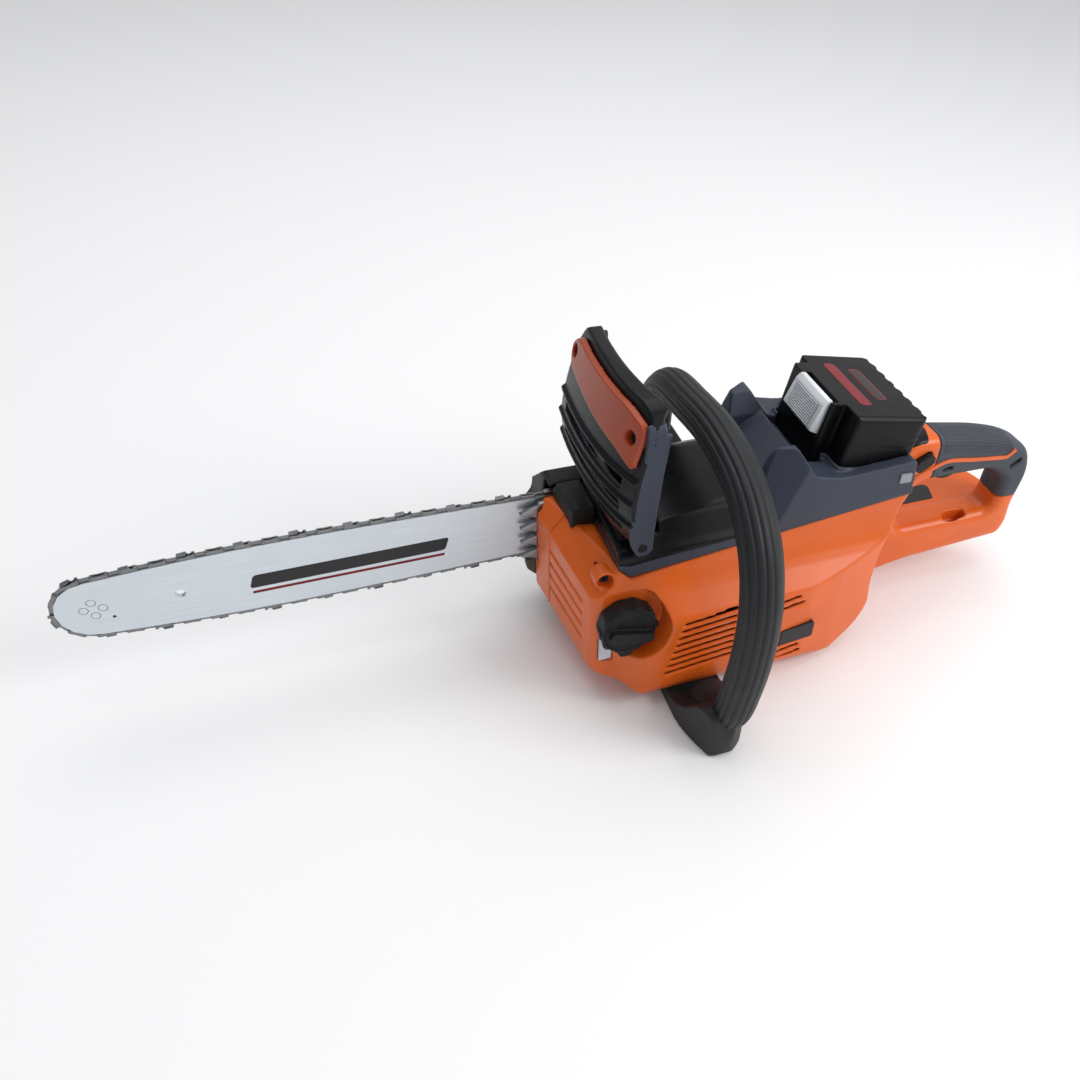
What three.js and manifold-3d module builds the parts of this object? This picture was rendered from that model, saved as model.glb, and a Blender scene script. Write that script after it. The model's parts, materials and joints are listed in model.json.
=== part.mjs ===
// Battery chainsaw with a 350 mm guide bar, as an assembly of separate named pieces.
// Millimetres. +X runs from the guide bar to the rear handle, -Y is the operator's left, +Z is up.
import * as THREE from "three";
import { mergeVertices } from "three/addons/utils/BufferGeometryUtils.js";
import Module from "manifold-3d";

const wasm = await Module();
wasm.setup();

// ---- Driving dimensions -------------------------------------------------------------------

const GAP = 0.4; // free space between neighbouring pieces
const WALL = 3; // moulded wall thickness

// Guide bar, centred on the plane y = 0
const BAR_Z = 105; // height of the bar's centreline
const NOSE_X = -322; // centre of the nose arc
const NOSE_R = 25;
const BAR_BELLY = { x: -190, half: 30.3 };
const BAR_ROOT = { x: -10, half: 27.3 };
const BAR_TAIL_X = 70;
const PLATE_INNER = 0.8; // distance of a side plate's inner face from the bar plane
const PLATE_OUTER = 2.05;
const GROOVE_DEPTH = 6.2;
const STUD_X = [34, 54];
const STUD_R = 4;

// Chain and its sprockets
const PITCH = 9.525; // chain pitch, 3/8 inch low profile
const DRIVE_TEETH = 6;
const NOSE_TEETH = 9;
const CUTTERS = 22;
const RIVET_HEIGHT = 1.6; // from the rail to the rivet line
const STRAP_HEIGHT = 3.2; // from the rail to the top of the tie straps
const TANG_DEPTH = 4.7;
const SPROCKET_X = 105;
const DRIVE_R = (DRIVE_TEETH * 2 * PITCH) / (2 * Math.PI) - RIVET_HEIGHT; // rail radius at the drive sprocket

// Gear train: the motor shaft lies ahead of and below the output shaft
const GEAR_MODULE = 2;
const PINION_TEETH = 9;
const GEAR_TEETH = 33;
const PINION_PITCH_R = (PINION_TEETH * GEAR_MODULE) / 2;
const GEAR_PITCH_R = (GEAR_TEETH * GEAR_MODULE) / 2;
const CENTRE_DISTANCE = PINION_PITCH_R + GEAR_PITCH_R;
const MOTOR_X = SPROCKET_X + 20;
const MOTOR_Z = BAR_Z - Math.sqrt(CENTRE_DISTANCE ** 2 - 20 ** 2);

// Housing
const LEFT_Y = -125; // outermost left wall
const SPLIT_Y = -30; // joint between the left and right housings
const PAD_Y = -4.4; // face that the bar lies against
const COVER_RIGHT_Y = 37; // outer face of the sprocket cover
const SEAM = { x0: 46.5, z0: 121, x1: 278, z1: 147.5 }; // joint between housing and top cover
const COVER_FRONT_X = 37;

// Front hand guard
const GUARD_PIVOT = { x: 50.3, z: 157.5 };
const GUARD_LEFT_Y = -108;
const GUARD_RIGHT_Y = 20;
const GUARD_BOW = 8;
const ARM = 6; // thickness of each guard arm

// Front handle: a hoop in a plane that leans back as it rises
const HANDLE_R = 15.2;
const HANDLE_FOOT_X = 101.5;
const HANDLE_LEAN = 0.06; // millimetres back for each millimetre up

// Battery, in a frame leaning back about the Y axis
const BATTERY_TILT = THREE.MathUtils.degToRad(11.5);
const BATTERY_TOP = { x: 248, z: 215 };
const BATTERY = { front: -39, rear: 39, left: -85, right: 8, depth: 84 };
const BATTERY_NECK = { rear: -26, left: -66, right: -5 };

// Rear handle
const GRIP_LEFT_Y = -62;
const GRIP_RIGHT_Y = -30;
const GUARD_PLATE_RIGHT_Y = 4;
const TRIGGER_PIVOT = { x: 331, z: 131 };

// Oil filler
const CAP = { x: 41, z: 86, r: 23.5 };
const CAP_SEAT_Y = -103;

// ---- Geometry helpers ---------------------------------------------------------------------

// Closed, indexed geometry holding positions only.
function plain(geometry) {
  const bare = geometry.clone();
  bare.deleteAttribute("normal");
  bare.deleteAttribute("uv");
  return bare.index && !geometry.attributes.normal ? bare : mergeVertices(bare, 1e-4);
}

function solidOf(geometry) {
  const closed = plain(geometry);
  return new wasm.Manifold(
    new wasm.Mesh({
      numProp: 3,
      vertProperties: closed.attributes.position.array,
      triVerts: new Uint32Array(closed.index.array),
    }),
  );
}

function geometryOf(solid) {
  const mesh = solid.getMesh();
  const geometry = new THREE.BufferGeometry();
  geometry.setAttribute("position", new THREE.BufferAttribute(new Float32Array(mesh.vertProperties), 3));
  geometry.setIndex(new THREE.BufferAttribute(new Uint32Array(mesh.triVerts), 1));
  return geometry;
}

const join = (...pieces) => geometryOf(pieces.map(solidOf).reduce((a, b) => a.add(b)));
const cut = (base, ...tools) => geometryOf(tools.map(solidOf).reduce((a, b) => a.subtract(b), solidOf(base)));
const common = (...pieces) => geometryOf(pieces.map(solidOf).reduce((a, b) => a.intersect(b)));

// Closed outline through [a, b, radius] corners; a missing radius leaves a sharp corner.
function outline(corners) {
  const shape = new THREE.Shape();
  corners.forEach(([a, b, radius = 0], i) => {
    const corner = new THREE.Vector2(a, b);
    const before = new THREE.Vector2(...corners[(i + corners.length - 1) % corners.length]);
    const after = new THREE.Vector2(...corners[(i + 1) % corners.length]);
    const reach = Math.min(radius, 0.45 * corner.distanceTo(before), 0.45 * corner.distanceTo(after));
    const entry = before.sub(corner).setLength(reach).add(corner);
    const exit = after.sub(corner).setLength(reach).add(corner);
    if (i === 0) shape.moveTo(entry.x, entry.y);
    else shape.lineTo(entry.x, entry.y);
    if (reach > 0) shape.quadraticCurveTo(corner.x, corner.y, exit.x, exit.y);
  });
  shape.closePath();
  return shape;
}

// The corners of an outline moved inwards by a distance, each edge staying parallel to itself.
function inset(corners, distance) {
  const points = corners.map(([a, b]) => new THREE.Vector2(a, b));
  const turn = Math.sign(THREE.ShapeUtils.area(points));
  return corners.map(([, , radius = 0], i) => {
    const here = points[i];
    const into = here.clone().sub(points[(i + points.length - 1) % points.length]).normalize();
    const out = points[(i + 1) % points.length].clone().sub(here).normalize();
    const normalIn = new THREE.Vector2(-into.y, into.x).multiplyScalar(turn);
    const normalOut = new THREE.Vector2(-out.y, out.x).multiplyScalar(turn);
    const miter = normalIn.add(normalOut);
    const moved = here.clone().addScaledVector(miter, (2 * distance) / miter.lengthSq());
    return [moved.x, moved.y, Math.max(0, radius - distance)];
  });
}

const AXES = {
  x: new THREE.Matrix4().makeBasis(
    new THREE.Vector3(0, 1, 0),
    new THREE.Vector3(0, 0, 1),
    new THREE.Vector3(1, 0, 0),
  ),
  y: new THREE.Matrix4().makeBasis(
    new THREE.Vector3(1, 0, 0),
    new THREE.Vector3(0, 0, 1),
    new THREE.Vector3(0, -1, 0),
  ),
  z: new THREE.Matrix4(),
};

// A shape drawn across one axis and extruded along it between two positions.
function prism(axis, shape, from, to, curveSegments = 2) {
  const drawn = Array.isArray(shape) ? outline(shape) : shape;
  const low = Math.min(from, to);
  const depth = Math.abs(to - from);
  const geometry = new THREE.ExtrudeGeometry(drawn, { depth, bevelEnabled: false, curveSegments });
  geometry.translate(0, 0, axis === "y" ? -low - depth : low);
  return geometry.applyMatrix4(AXES[axis]);
}

function box(x0, x1, y0, y1, z0, z1) {
  const geometry = new THREE.BoxGeometry(x1 - x0, y1 - y0, z1 - z0);
  return geometry.translate((x0 + x1) / 2, (y0 + y1) / 2, (z0 + z1) / 2);
}

// A cylinder along the Y axis.
function rod(x, z, radius, y0, y1, sides = 18) {
  const geometry = new THREE.CylinderGeometry(radius, radius, y1 - y0, sides);
  return geometry.translate(x, (y0 + y1) / 2, z);
}

const ring = (x, z, outer, inner, y0, y1, sides = 18) =>
  cut(rod(x, z, outer, y0, y1, sides), rod(x, z, inner, y0 - 1, y1 + 1, sides));

// A large block on the outer side of a plane, for cutting flat facets.
function beyond(point, normal) {
  const size = 400;
  const direction = new THREE.Vector3(...normal).normalize();
  const geometry = new THREE.BoxGeometry(size, size, size).translate(0, 0, size / 2);
  geometry.applyQuaternion(new THREE.Quaternion().setFromUnitVectors(new THREE.Vector3(0, 0, 1), direction));
  return geometry.translate(...point);
}

// ---- Materials ----------------------------------------------------------------------------

const finish = (color, roughness, metalness = 0) =>
  new THREE.MeshStandardMaterial({ color, roughness, metalness });

const MATERIAL = {
  orange: finish(0xd9541e, 0.35),
  slate: finish(0x3a404e, 0.45),
  black: finish(0x1b1b1a, 0.55),
  rubber: finish(0x2d2f31, 0.75),
  steel: finish(0x8f979c, 0.35, 0.9),
  barSteel: finish(0xb9c6cf, 0.3, 0.9),
  darkSteel: finish(0x4b4f52, 0.45, 0.9),
  copper: finish(0xa8663a, 0.4, 0.8),
  brass: finish(0xb08d4a, 0.4, 0.9),
  white: finish(0xe6e8ea, 0.5),
  tank: finish(0xd8dcdc, 0.4),
  board: finish(0x1f5a36, 0.6),
};

const root = new THREE.Group();

function add(name, geometry, material, parent = root) {
  const mesh = new THREE.Mesh(geometry, material);
  mesh.name = name;
  parent.add(mesh);
  return mesh;
}

// ---- Guide bar ----------------------------------------------------------------------------

// Bar outline, grown outwards by a distance; its tail narrows towards the drive sprocket.
function barShape(grow = 0) {
  const half = (station) => station.half + grow;
  const shape = new THREE.Shape();
  shape.moveTo(BAR_TAIL_X + grow, BAR_Z - half(BAR_ROOT) + 9);
  shape.lineTo(BAR_TAIL_X - 20, BAR_Z - half(BAR_ROOT));
  shape.lineTo(BAR_ROOT.x, BAR_Z - half(BAR_ROOT));
  shape.quadraticCurveTo(-110, BAR_Z - half(BAR_BELLY), BAR_BELLY.x, BAR_Z - half(BAR_BELLY));
  shape.quadraticCurveTo(-252, BAR_Z - half(BAR_BELLY), NOSE_X, BAR_Z - NOSE_R - grow);
  shape.absarc(NOSE_X, BAR_Z, NOSE_R + grow, -Math.PI / 2, Math.PI / 2, true);
  shape.quadraticCurveTo(-252, BAR_Z + half(BAR_BELLY), BAR_BELLY.x, BAR_Z + half(BAR_BELLY));
  shape.quadraticCurveTo(-110, BAR_Z + half(BAR_BELLY), BAR_ROOT.x, BAR_Z + half(BAR_ROOT));
  shape.lineTo(BAR_TAIL_X - 20, BAR_Z + half(BAR_ROOT));
  shape.lineTo(BAR_TAIL_X + grow, BAR_Z + half(BAR_ROOT) - 9);
  shape.closePath();
  return shape;
}

const NOSE_RIVETS = [0, 1, 2, 3].map((i) => ({
  x: NOSE_X + 6.3 * Math.cos((i * Math.PI) / 2),
  z: BAR_Z + 6.3 * Math.sin((i * Math.PI) / 2),
}));
const NOSE_RIVET_R = 3.1;
const NOSE_RIVET_SIDES = 10;

function studSlot(margin) {
  const reach = STUD_R + GAP + margin;
  return [
    [STUD_X[0] - reach - 6, BAR_Z - reach, reach],
    [STUD_X[1] + reach, BAR_Z - reach, reach],
    [STUD_X[1] + reach, BAR_Z + reach, reach],
    [STUD_X[0] - reach - 6, BAR_Z + reach, reach],
  ];
}

const TENSION_HOLE = { x: 62, z: BAR_Z - 15, r: 3.4 };

function barPlate(side) {
  const faces = [PLATE_INNER * side, PLATE_OUTER * side];
  const through = [PLATE_INNER * side - side, PLATE_OUTER * side + side].sort((a, b) => a - b);
  const holes = NOSE_RIVETS.map(({ x, z }) => rod(x, z, NOSE_RIVET_R + 0.2, ...through, NOSE_RIVET_SIDES));
  return cut(
    prism("y", barShape(), ...faces, 4),
    prism("y", studSlot(0), ...through),
    rod(TENSION_HOLE.x, TENSION_HOLE.z, TENSION_HOLE.r, ...through, 10),
    rod(-264.4, 104.3, 3.8, ...through, 14),
    rod(-310.9, 94.7, 1.3, ...through, 8),
    ...holes,
  );
}

// The core fills the bar up to the groove and stops short of the nose sprocket.
function barCore() {
  return cut(
    prism("y", barShape(-GROOVE_DEPTH), -PLATE_INNER + 0.3, PLATE_INNER - 0.3, 4),
    rod(NOSE_X, BAR_Z, 24, -5, 5),
    prism("y", studSlot(0), -5, 5),
    rod(TENSION_HOLE.x, TENSION_HOLE.z, TENSION_HOLE.r, -5, 5, 10),
    rod(-264.4, 104.3, 3.8, -5, 5, 14),
  );
}

// A toothed wheel's outline: each tooth has a root, two flanks and a tip.
function toothed(teeth, rootR, tipR, rootShare, tipShare, phase = 0) {
  const step = (2 * Math.PI) / teeth;
  const corner = (radius, angle) => [radius * Math.cos(angle), radius * Math.sin(angle)];
  return Array.from({ length: teeth }, (_, i) => {
    const middle = phase + i * step;
    return [
      corner(rootR, middle - (rootShare * step) / 2),
      corner(tipR, middle - (tipShare * step) / 2),
      corner(tipR, middle + (tipShare * step) / 2),
      corner(rootR, middle + (rootShare * step) / 2),
    ];
  }).flat();
}

const at = (points, x, z) => points.map(([a, b]) => [a + x, b + z]);

function noseSprocket() {
  const wheel = toothed(NOSE_TEETH, 15.2, 19.6, 0.7, 0.25);
  return cut(
    prism("y", at(wheel, NOSE_X, BAR_Z), -0.4, 0.4),
    rod(NOSE_X, BAR_Z, 10.6, -1, 1),
  );
}

// The bearing race that the nose sprocket turns on, with its four rivets.
function noseHub() {
  const radius = NOSE_RIVET_R - 0.2;
  const rivet = ({ x, z }) => rod(x, z, radius, -PLATE_OUTER, PLATE_OUTER, NOSE_RIVET_SIDES);
  return join(rod(NOSE_X, BAR_Z, 10.2, -0.4, 0.4), ...NOSE_RIVETS.map(rivet));
}

// ---- Chain --------------------------------------------------------------------------------

// Closed path at a height above the rail: round the nose, along the bar and round the drive sprocket.
function chainShape(height) {
  const wrap = DRIVE_R + height;
  const root = BAR_ROOT.half + height;
  const run = SPROCKET_X - 60;
  const tangent = Math.atan2(run, root) + Math.asin(wrap / Math.hypot(run, root));
  const belly = BAR_BELLY.half + height;
  const shape = new THREE.Shape();
  shape.absarc(SPROCKET_X, BAR_Z, wrap, -tangent, tangent, false);
  shape.lineTo(60, BAR_Z + root);
  shape.lineTo(BAR_ROOT.x, BAR_Z + root);
  shape.quadraticCurveTo(-110, BAR_Z + belly, BAR_BELLY.x, BAR_Z + belly);
  shape.quadraticCurveTo(-252, BAR_Z + belly, NOSE_X, BAR_Z + NOSE_R + height);
  shape.absarc(NOSE_X, BAR_Z, NOSE_R + height, Math.PI / 2, -Math.PI / 2, false);
  shape.quadraticCurveTo(-252, BAR_Z - belly, BAR_BELLY.x, BAR_Z - belly);
  shape.quadraticCurveTo(-110, BAR_Z - belly, BAR_ROOT.x, BAR_Z - root);
  shape.lineTo(60, BAR_Z - root);
  shape.closePath();
  return shape;
}

// One cutter: depth gauge, gullet and top plate, drawn along the chain and outwards from it.
function cutter(point, tangent, side) {
  const profile = [
    [-8, -1],
    [-6, 1.6],
    [-4, 0.2],
    [-1, 1.9],
    [6, 1.5],
    [7, -1],
  ];
  const tooth = prism("y", profile, side > 0 ? -1.4 : -3, side > 0 ? 3 : 1.4);
  tooth.rotateY(-Math.atan2(tangent.y, tangent.x));
  return tooth.translate(point.x, 0, point.y);
}

function sawChain() {
  const band = chainShape(STRAP_HEIGHT);
  band.holes.push(chainShape(GAP));
  const tangs = cut(
    prism("y", barShape(GAP + 0.2), -0.4, 0.4, 4),
    prism("y", barShape(-TANG_DEPTH), -1, 1, 4),
    box(48, 90, -2, 2, 60, 150),
  );
  const path = chainShape(STRAP_HEIGHT - 0.6);
  const cutters = Array.from({ length: CUTTERS }, (_, i) => {
    const u = (i + 0.35) / CUTTERS;
    return cutter(path.getPointAt(u), path.getTangentAt(u), i % 2 ? 1 : -1);
  });
  return join(prism("y", band, -2.1, 2.1, 4), tangs, ...cutters);
}

function driveSprocket() {
  const rim = toothed(DRIVE_TEETH, DRIVE_R - 4.5, DRIVE_R - 0.3, 0.7, 0.45);
  const wheel = prism("y", at(rim, SPROCKET_X, BAR_Z), -3, 3);
  const hub = rod(SPROCKET_X, BAR_Z, 10, -3.6, 9);
  return cut(join(wheel, hub), rod(SPROCKET_X, BAR_Z, 5.3, -10, 12, 14));
}

// ---- Bar mounting and chain tensioner -----------------------------------------------------

function barStud(x) {
  return join(rod(x, BAR_Z, STUD_R, -26, 44, 12), rod(x, BAR_Z, 7, -29, -24, 6));
}

function barNut(x) {
  const flange = rod(x, BAR_Z, 9.5, COVER_RIGHT_Y + GAP, COVER_RIGHT_Y + 2.4);
  const hexagon = rod(x, BAR_Z, 7.6, COVER_RIGHT_Y + 2, COVER_RIGHT_Y + 9, 6);
  return cut(join(flange, hexagon), rod(x, BAR_Z, STUD_R + GAP, 30, 60, 12));
}

function tensionBlock() {
  const block = box(57, 67, -17.6, -8, TENSION_HOLE.z - 5, TENSION_HOLE.z + 5);
  const bore = new THREE.CylinderGeometry(2.9, 2.9, 30, 12).rotateZ(Math.PI / 2);
  bore.translate(62, -13, TENSION_HOLE.z);
  return cut(join(block, rod(62, TENSION_HOLE.z, 3, -9, 1.6, 10)), bore);
}

function tensionScrew() {
  const shank = new THREE.CylinderGeometry(2.5, 2.5, 60, 12).rotateZ(Math.PI / 2).translate(39, -13, 0);
  const head = new THREE.CylinderGeometry(4.2, 4.2, 4, 12).rotateZ(Math.PI / 2).translate(9.5, -13, 0);
  const slot = box(6, 8.7, -18, -8, -0.6, 0.6);
  return cut(join(shank, head), slot).translate(0, 0, TENSION_HOLE.z);
}

// Four forward-pointing spikes on a narrow plate.
function bumperOutline(grow) {
  const spikes = [0, 1, 2, 3].map((i) => {
    const z = 122 - i * 14.5;
    return [
      [1, z + 5.5 + grow],
      [-13 - grow, z],
      [1, z - 5.5 - grow],
    ];
  });
  return [[10 + grow, 130 + grow], ...spikes.flat(), [4, 68 - grow], [10 + grow, 68 - grow]];
}

const bumperSpike = () => prism("y", bumperOutline(0), -8.6, -4.6);

function chainCatcher() {
  const hook = [
    [3, 71],
    [-8, 69, 2],
    [-7, 60, 2],
    [6, 46, 2],
    [22, 40, 1],
    [22, 52, 1],
  ];
  return prism("y", hook, PAD_Y + GAP, 3.4);
}

// ---- Housing ------------------------------------------------------------------------------

// Side view of the housings, from the front wall round to the sloping rear.
const HOUSING_SIDE = [
  [0, 134, 2],
  [20, 134, 3],
  [COVER_FRONT_X, 131],
  [SEAM.x0, SEAM.z0],
  [SEAM.x1, SEAM.z1],
  [268, 124, 6],
  [257, 98, 10],
  [256, 62, 8],
  [261, 40, 8],
  [250, 21, 8],
  [216, 3, 8],
  [142, 3, 4],
  [134, 14, 3],
  [70, 14, 10],
  [20, 14, 8],
  [0, 34, 8],
];

// Plan view: the front wall slants back to the left, then the motor bulge swells past the oil filler.
const HOUSING_PLAN = [
  [0, 20],
  [0, -6],
  [17, -97, 6],
  [24, -103, 5],
  [36, -105, 6],
  [52, -123, 8],
  [72, LEFT_Y, 6],
  [190, LEFT_Y, 30],
  [256, -106, 10],
  [290, -94],
  [290, 20],
];

// Cross-section: upright below, drawn in by a hollow shoulder under the top cover.
const HOUSING_SECTION = [
  [20, 160],
  [-96, 160],
  [-97, 132, 4],
  [-103, 112, 8],
  [-117, 99, 6],
  [LEFT_Y, 92, 4],
  [LEFT_Y, 22, 8],
  [-114, 3, 8],
  [20, 3],
];

// Sloping keel: the front wall's lower edge drops from the bar towards the operator's left.
const KEEL = { point: [2, 6, 45], normal: [-0.38, 0.073, -0.922] };

function housingEnvelope(thickness = 0) {
  const block = common(
    prism("y", inset(HOUSING_SIDE, thickness), -160, 40),
    prism("z", inset(HOUSING_PLAN, thickness), -10, 200),
    prism("x", inset(HOUSING_SECTION, thickness), -20, 320),
  );
  const [x, y, z] = KEEL.point;
  return cut(block, beyond([x, y, z + thickness], KEEL.normal));
}

// Sloping facet between the front wall and the top cover.
const FRONT_FACET = { point: [12, -32, 127], normal: [-0.731, -0.26, 0.631] };

// Cooling slots follow the slope of the seam; each row starts a little further back than the one below.
const SLOT_SLOPE = Math.atan2(SEAM.z1 - SEAM.z0, SEAM.x1 - SEAM.x0);

const seamZ = (x) => SEAM.z0 + (x - SEAM.x0) * Math.tan(SLOT_SLOPE);

function coolingSlot(x0, x1, z) {
  const slot = new THREE.BoxGeometry(x1 - x0, 40, 2.8).rotateY(-SLOT_SLOPE);
  return slot.translate((x0 + x1) / 2, LEFT_Y, z);
}

function coolingSlots() {
  const front = Array.from({ length: 8 }, (_, i) => coolingSlot(69 + i * 1.8, 126, 39.5 + i * 7.1));
  const rear = [0, 1, 2].map((i) => coolingSlot(150, 190 - i * 3, 22 + i * 7.6));
  const upper = [0, 1].map((i) => coolingSlot(150, 184 - i * 4, 79 + i * 7.6));
  return [...front, ...rear, ...upper];
}

// Shallow grooves in the front wall, parallel to the keel.
function frontGrooves() {
  return [58, 71, 84, 97].map((z) => {
    const groove = new THREE.BoxGeometry(3, 62, 3);
    groove.rotateX(Math.atan2(14, 91)).rotateZ(Math.atan2(17, 91));
    return groove.translate(9.4, -54, z);
  });
}

const HOUSING_SCREW = { x: 27.5, z: 122.5, headY: -94 };

function leftHousing() {
  const shell = cut(
    housingEnvelope(),
    housingEnvelope(WALL),
    box(-20, 320, SPLIT_Y, 60, -10, 220),
  );
  const { x, z } = HOUSING_SCREW;
  const screwRecess = join(rod(x, z, 6, -120, -91.4, 14), rod(x, z, 2.3, -92, -76, 12));
  const thickened = common(join(frontCorner(), fillerCup()), housingEnvelope());
  const faceted = cut(join(shell, thickened), beyond(FRONT_FACET.point, FRONT_FACET.normal));
  const screwBoss = rod(x, z, 8.2, -97.6, -84, 18);
  return cut(
    join(faceted, screwBoss),
    rod(CAP.x, CAP.z, CAP.r + 8, -160, CAP_SEAT_Y, 24),
    rod(CAP.x, CAP.z, 17, -120, -90),
    box(22.5, 33.5, -120, -92, 43.5, 69),
    bayTub(GAP),
    screwRecess,
    ...coolingSlots(),
    ...frontGrooves(),
  );
}

// Wall around the oil filler's recess and the window below it.
function fillerCup() {
  const cup = rod(CAP.x, CAP.z, CAP.r + 11, -130, CAP_SEAT_Y + WALL, 24);
  return join(cup, box(20, 38, -130, CAP_SEAT_Y + WALL, 40, 72));
}

// Solid corner behind the sloping facet, so that the facet does not open the wall.
const frontCorner = () => box(0, 34, -110, SPLIT_Y, 96, 140);

function rightHousing() {
  const slab = common(housingEnvelope(), box(-20, 320, SPLIT_Y + GAP, PAD_Y, -10, 220));
  const gearBay = join(
    rod(SPROCKET_X, BAR_Z, 37, SPLIT_Y - 5, -12, 24),
    rod(MOTOR_X, MOTOR_Z, 13, SPLIT_Y - 5, -10.4),
  );
  const studs = STUD_X.map((x) => rod(x, BAR_Z, 7.4, -34, -1, 12));
  return cut(
    slab,
    gearBay,
    bayTub(GAP),
    beyond(FRONT_FACET.point, FRONT_FACET.normal),
    rod(SPROCKET_X, BAR_Z, 11.4, -20, 0),
    ...studs,
    box(5, 74, -19, -2, TENSION_HOLE.z - 6, TENSION_HOLE.z + 6),
    box(160, 246, SPLIT_Y - 2, -10, 14, 100),
    box(61, 82, SPLIT_Y - 2, -12, 51, 67),
    box(262, 300, SPLIT_Y - 2, 0, 110, 170),
    prism("y", bumperOutline(GAP), -9, -3),
  );
}

// Plate inside the gear case that carries the motor's front bearing and the output shaft.
function gearPlate() {
  const web = [
    [86, 122, 12],
    [124, 122, 12],
    [150, 90, 12],
    [150, 46, 12],
    [100, 46, 12],
    [86, 80, 12],
  ];
  return cut(
    prism("y", web, -38, -33),
    rod(MOTOR_X, MOTOR_Z, 11.4, -50, -20),
    rod(SPROCKET_X, BAR_Z, 5.6, -50, -20, 14),
  );
}

// ---- Motor and gears ----------------------------------------------------------------------

function motorStator() {
  const bore = toothed(12, 24.5, 17, 0.5, 0.86, 0);
  return cut(
    rod(MOTOR_X, MOTOR_Z, 31, -94, -50, 24),
    prism("y", at(bore, MOTOR_X, MOTOR_Z), -100, -40),
  );
}

const motorRotor = () => ring(MOTOR_X, MOTOR_Z, 16.2, 4.4, -92, -52);

// The motor shaft with its pinion cut on the end.
function motorShaft() {
  const pinion = toothed(
    PINION_TEETH,
    PINION_PITCH_R - 2.2,
    PINION_PITCH_R + 1.6,
    0.6,
    0.2,
    Math.atan2(BAR_Z - MOTOR_Z, SPROCKET_X - MOTOR_X),
  );
  return join(
    rod(MOTOR_X, MOTOR_Z, 4, -117, -20, 14),
    prism("y", at(pinion, MOTOR_X, MOTOR_Z), -24, -12.4),
  );
}

function outputGear() {
  const towardsMotor = Math.atan2(MOTOR_Z - BAR_Z, MOTOR_X - SPROCKET_X);
  const halfTooth = Math.PI / GEAR_TEETH;
  const phase = towardsMotor + halfTooth;
  const wheel = toothed(GEAR_TEETH, GEAR_PITCH_R - 2.2, GEAR_PITCH_R + 1.6, 0.6, 0.2, phase);
  return cut(
    prism("y", at(wheel, SPROCKET_X, BAR_Z), -22, -14),
    rod(SPROCKET_X, BAR_Z, 5.3, -40, 0, 14),
  );
}

const outputShaft = () => rod(SPROCKET_X, BAR_Z, 5, -37, 13, 14);

function coolingFan() {
  const blades = Array.from({ length: 9 }, (_, i) => {
    const blade = new THREE.BoxGeometry(19, 8, 1.6).translate(18, 0, 0);
    blade.rotateY((i * 2 * Math.PI) / 9);
    return blade.translate(MOTOR_X, -112, MOTOR_Z);
  });
  const disc = rod(MOTOR_X, MOTOR_Z, 28, -108.5, -106.5);
  const hub = rod(MOTOR_X, MOTOR_Z, 10, -116, -106.5);
  return cut(join(disc, hub, ...blades), rod(MOTOR_X, MOTOR_Z, 4.4, -120, -100, 14));
}

// ---- Oil system ---------------------------------------------------------------------------

function oilTank() {
  const body = [
    [27, 38, 4],
    [86, 38, 4],
    [86, 94, 6],
    [27, 94, 6],
  ];
  return cut(
    join(prism("y", body, -98, -38), rod(CAP.x, CAP.z, 15.5, -102.6, -97)),
    prism("y", inset(body, 2.2), -95.8, -40.2),
    rod(CAP.x, CAP.z, 12.4, -110, -90),
  );
}

// Sight window in front of the tank.
const oilWindow = () => box(23, 33, -102.4, -98.4, 44, 68.5);

// Screw cap: a ribbed drum with a raised turning bar and a lug for its tether.
function oilCap() {
  const taper = new THREE.CylinderGeometry(CAP.r, CAP.r - 1.5, 13, 20).rotateX(Math.PI);
  taper.translate(CAP.x, CAP_SEAT_Y - GAP - 6.5, CAP.z);
  const lobes = at(toothed(10, CAP.r - 1.8, CAP.r + 0.5, 0.35, 0.55), CAP.x, CAP.z);
  const drum = common(taper, prism("y", lobes, -120, -100));
  const bar = prism(
    "y",
    [
      [CAP.x - 17, CAP.z - 4, 3],
      [CAP.x + 17, CAP.z - 12, 3],
      [CAP.x + 20, CAP.z - 4, 3],
      [CAP.x - 14, CAP.z + 5, 3],
    ],
    -122,
    -110,
  );
  const lug = prism(
    "y",
    [
      [CAP.x - 8, CAP.z - 20],
      [CAP.x + 6, CAP.z - 20],
      [CAP.x + 4, CAP.z - 29.5, 3],
      [CAP.x - 6, CAP.z - 29.5, 3],
    ],
    -115,
    -109,
  );
  return join(drum, bar, lug, rod(CAP.x, CAP.z, 11.8, -104.5, -92));
}

function oilPump() {
  const body = box(62, 80, -29, -21, 52, 66);
  return cut(join(body, rod(71, 59, 5, -30, -13, 16)), rod(71, 59, 1.5, -20, -10, 8));
}

// ---- Sprocket cover -----------------------------------------------------------------------

const COVER_SIDE = [
  [-9, 76, 1],
  [-5, 57, 4],
  [5, 46, 4],
  [17, 31, 8],
  [40, 16, 10],
  [150, 15, 20],
  [184, 40, 20],
  [190, 88, 24],
  [182, 126, 16],
  [160, 145, 12],
  [12, 145, 4],
  [8, 112, 4],
  [-9, 92, 4],
];

// The roof falls away towards the outer face.
const COVER_ROOF = { point: [0, 14, 145], normal: [0, 0.69, 0.72] };

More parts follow.
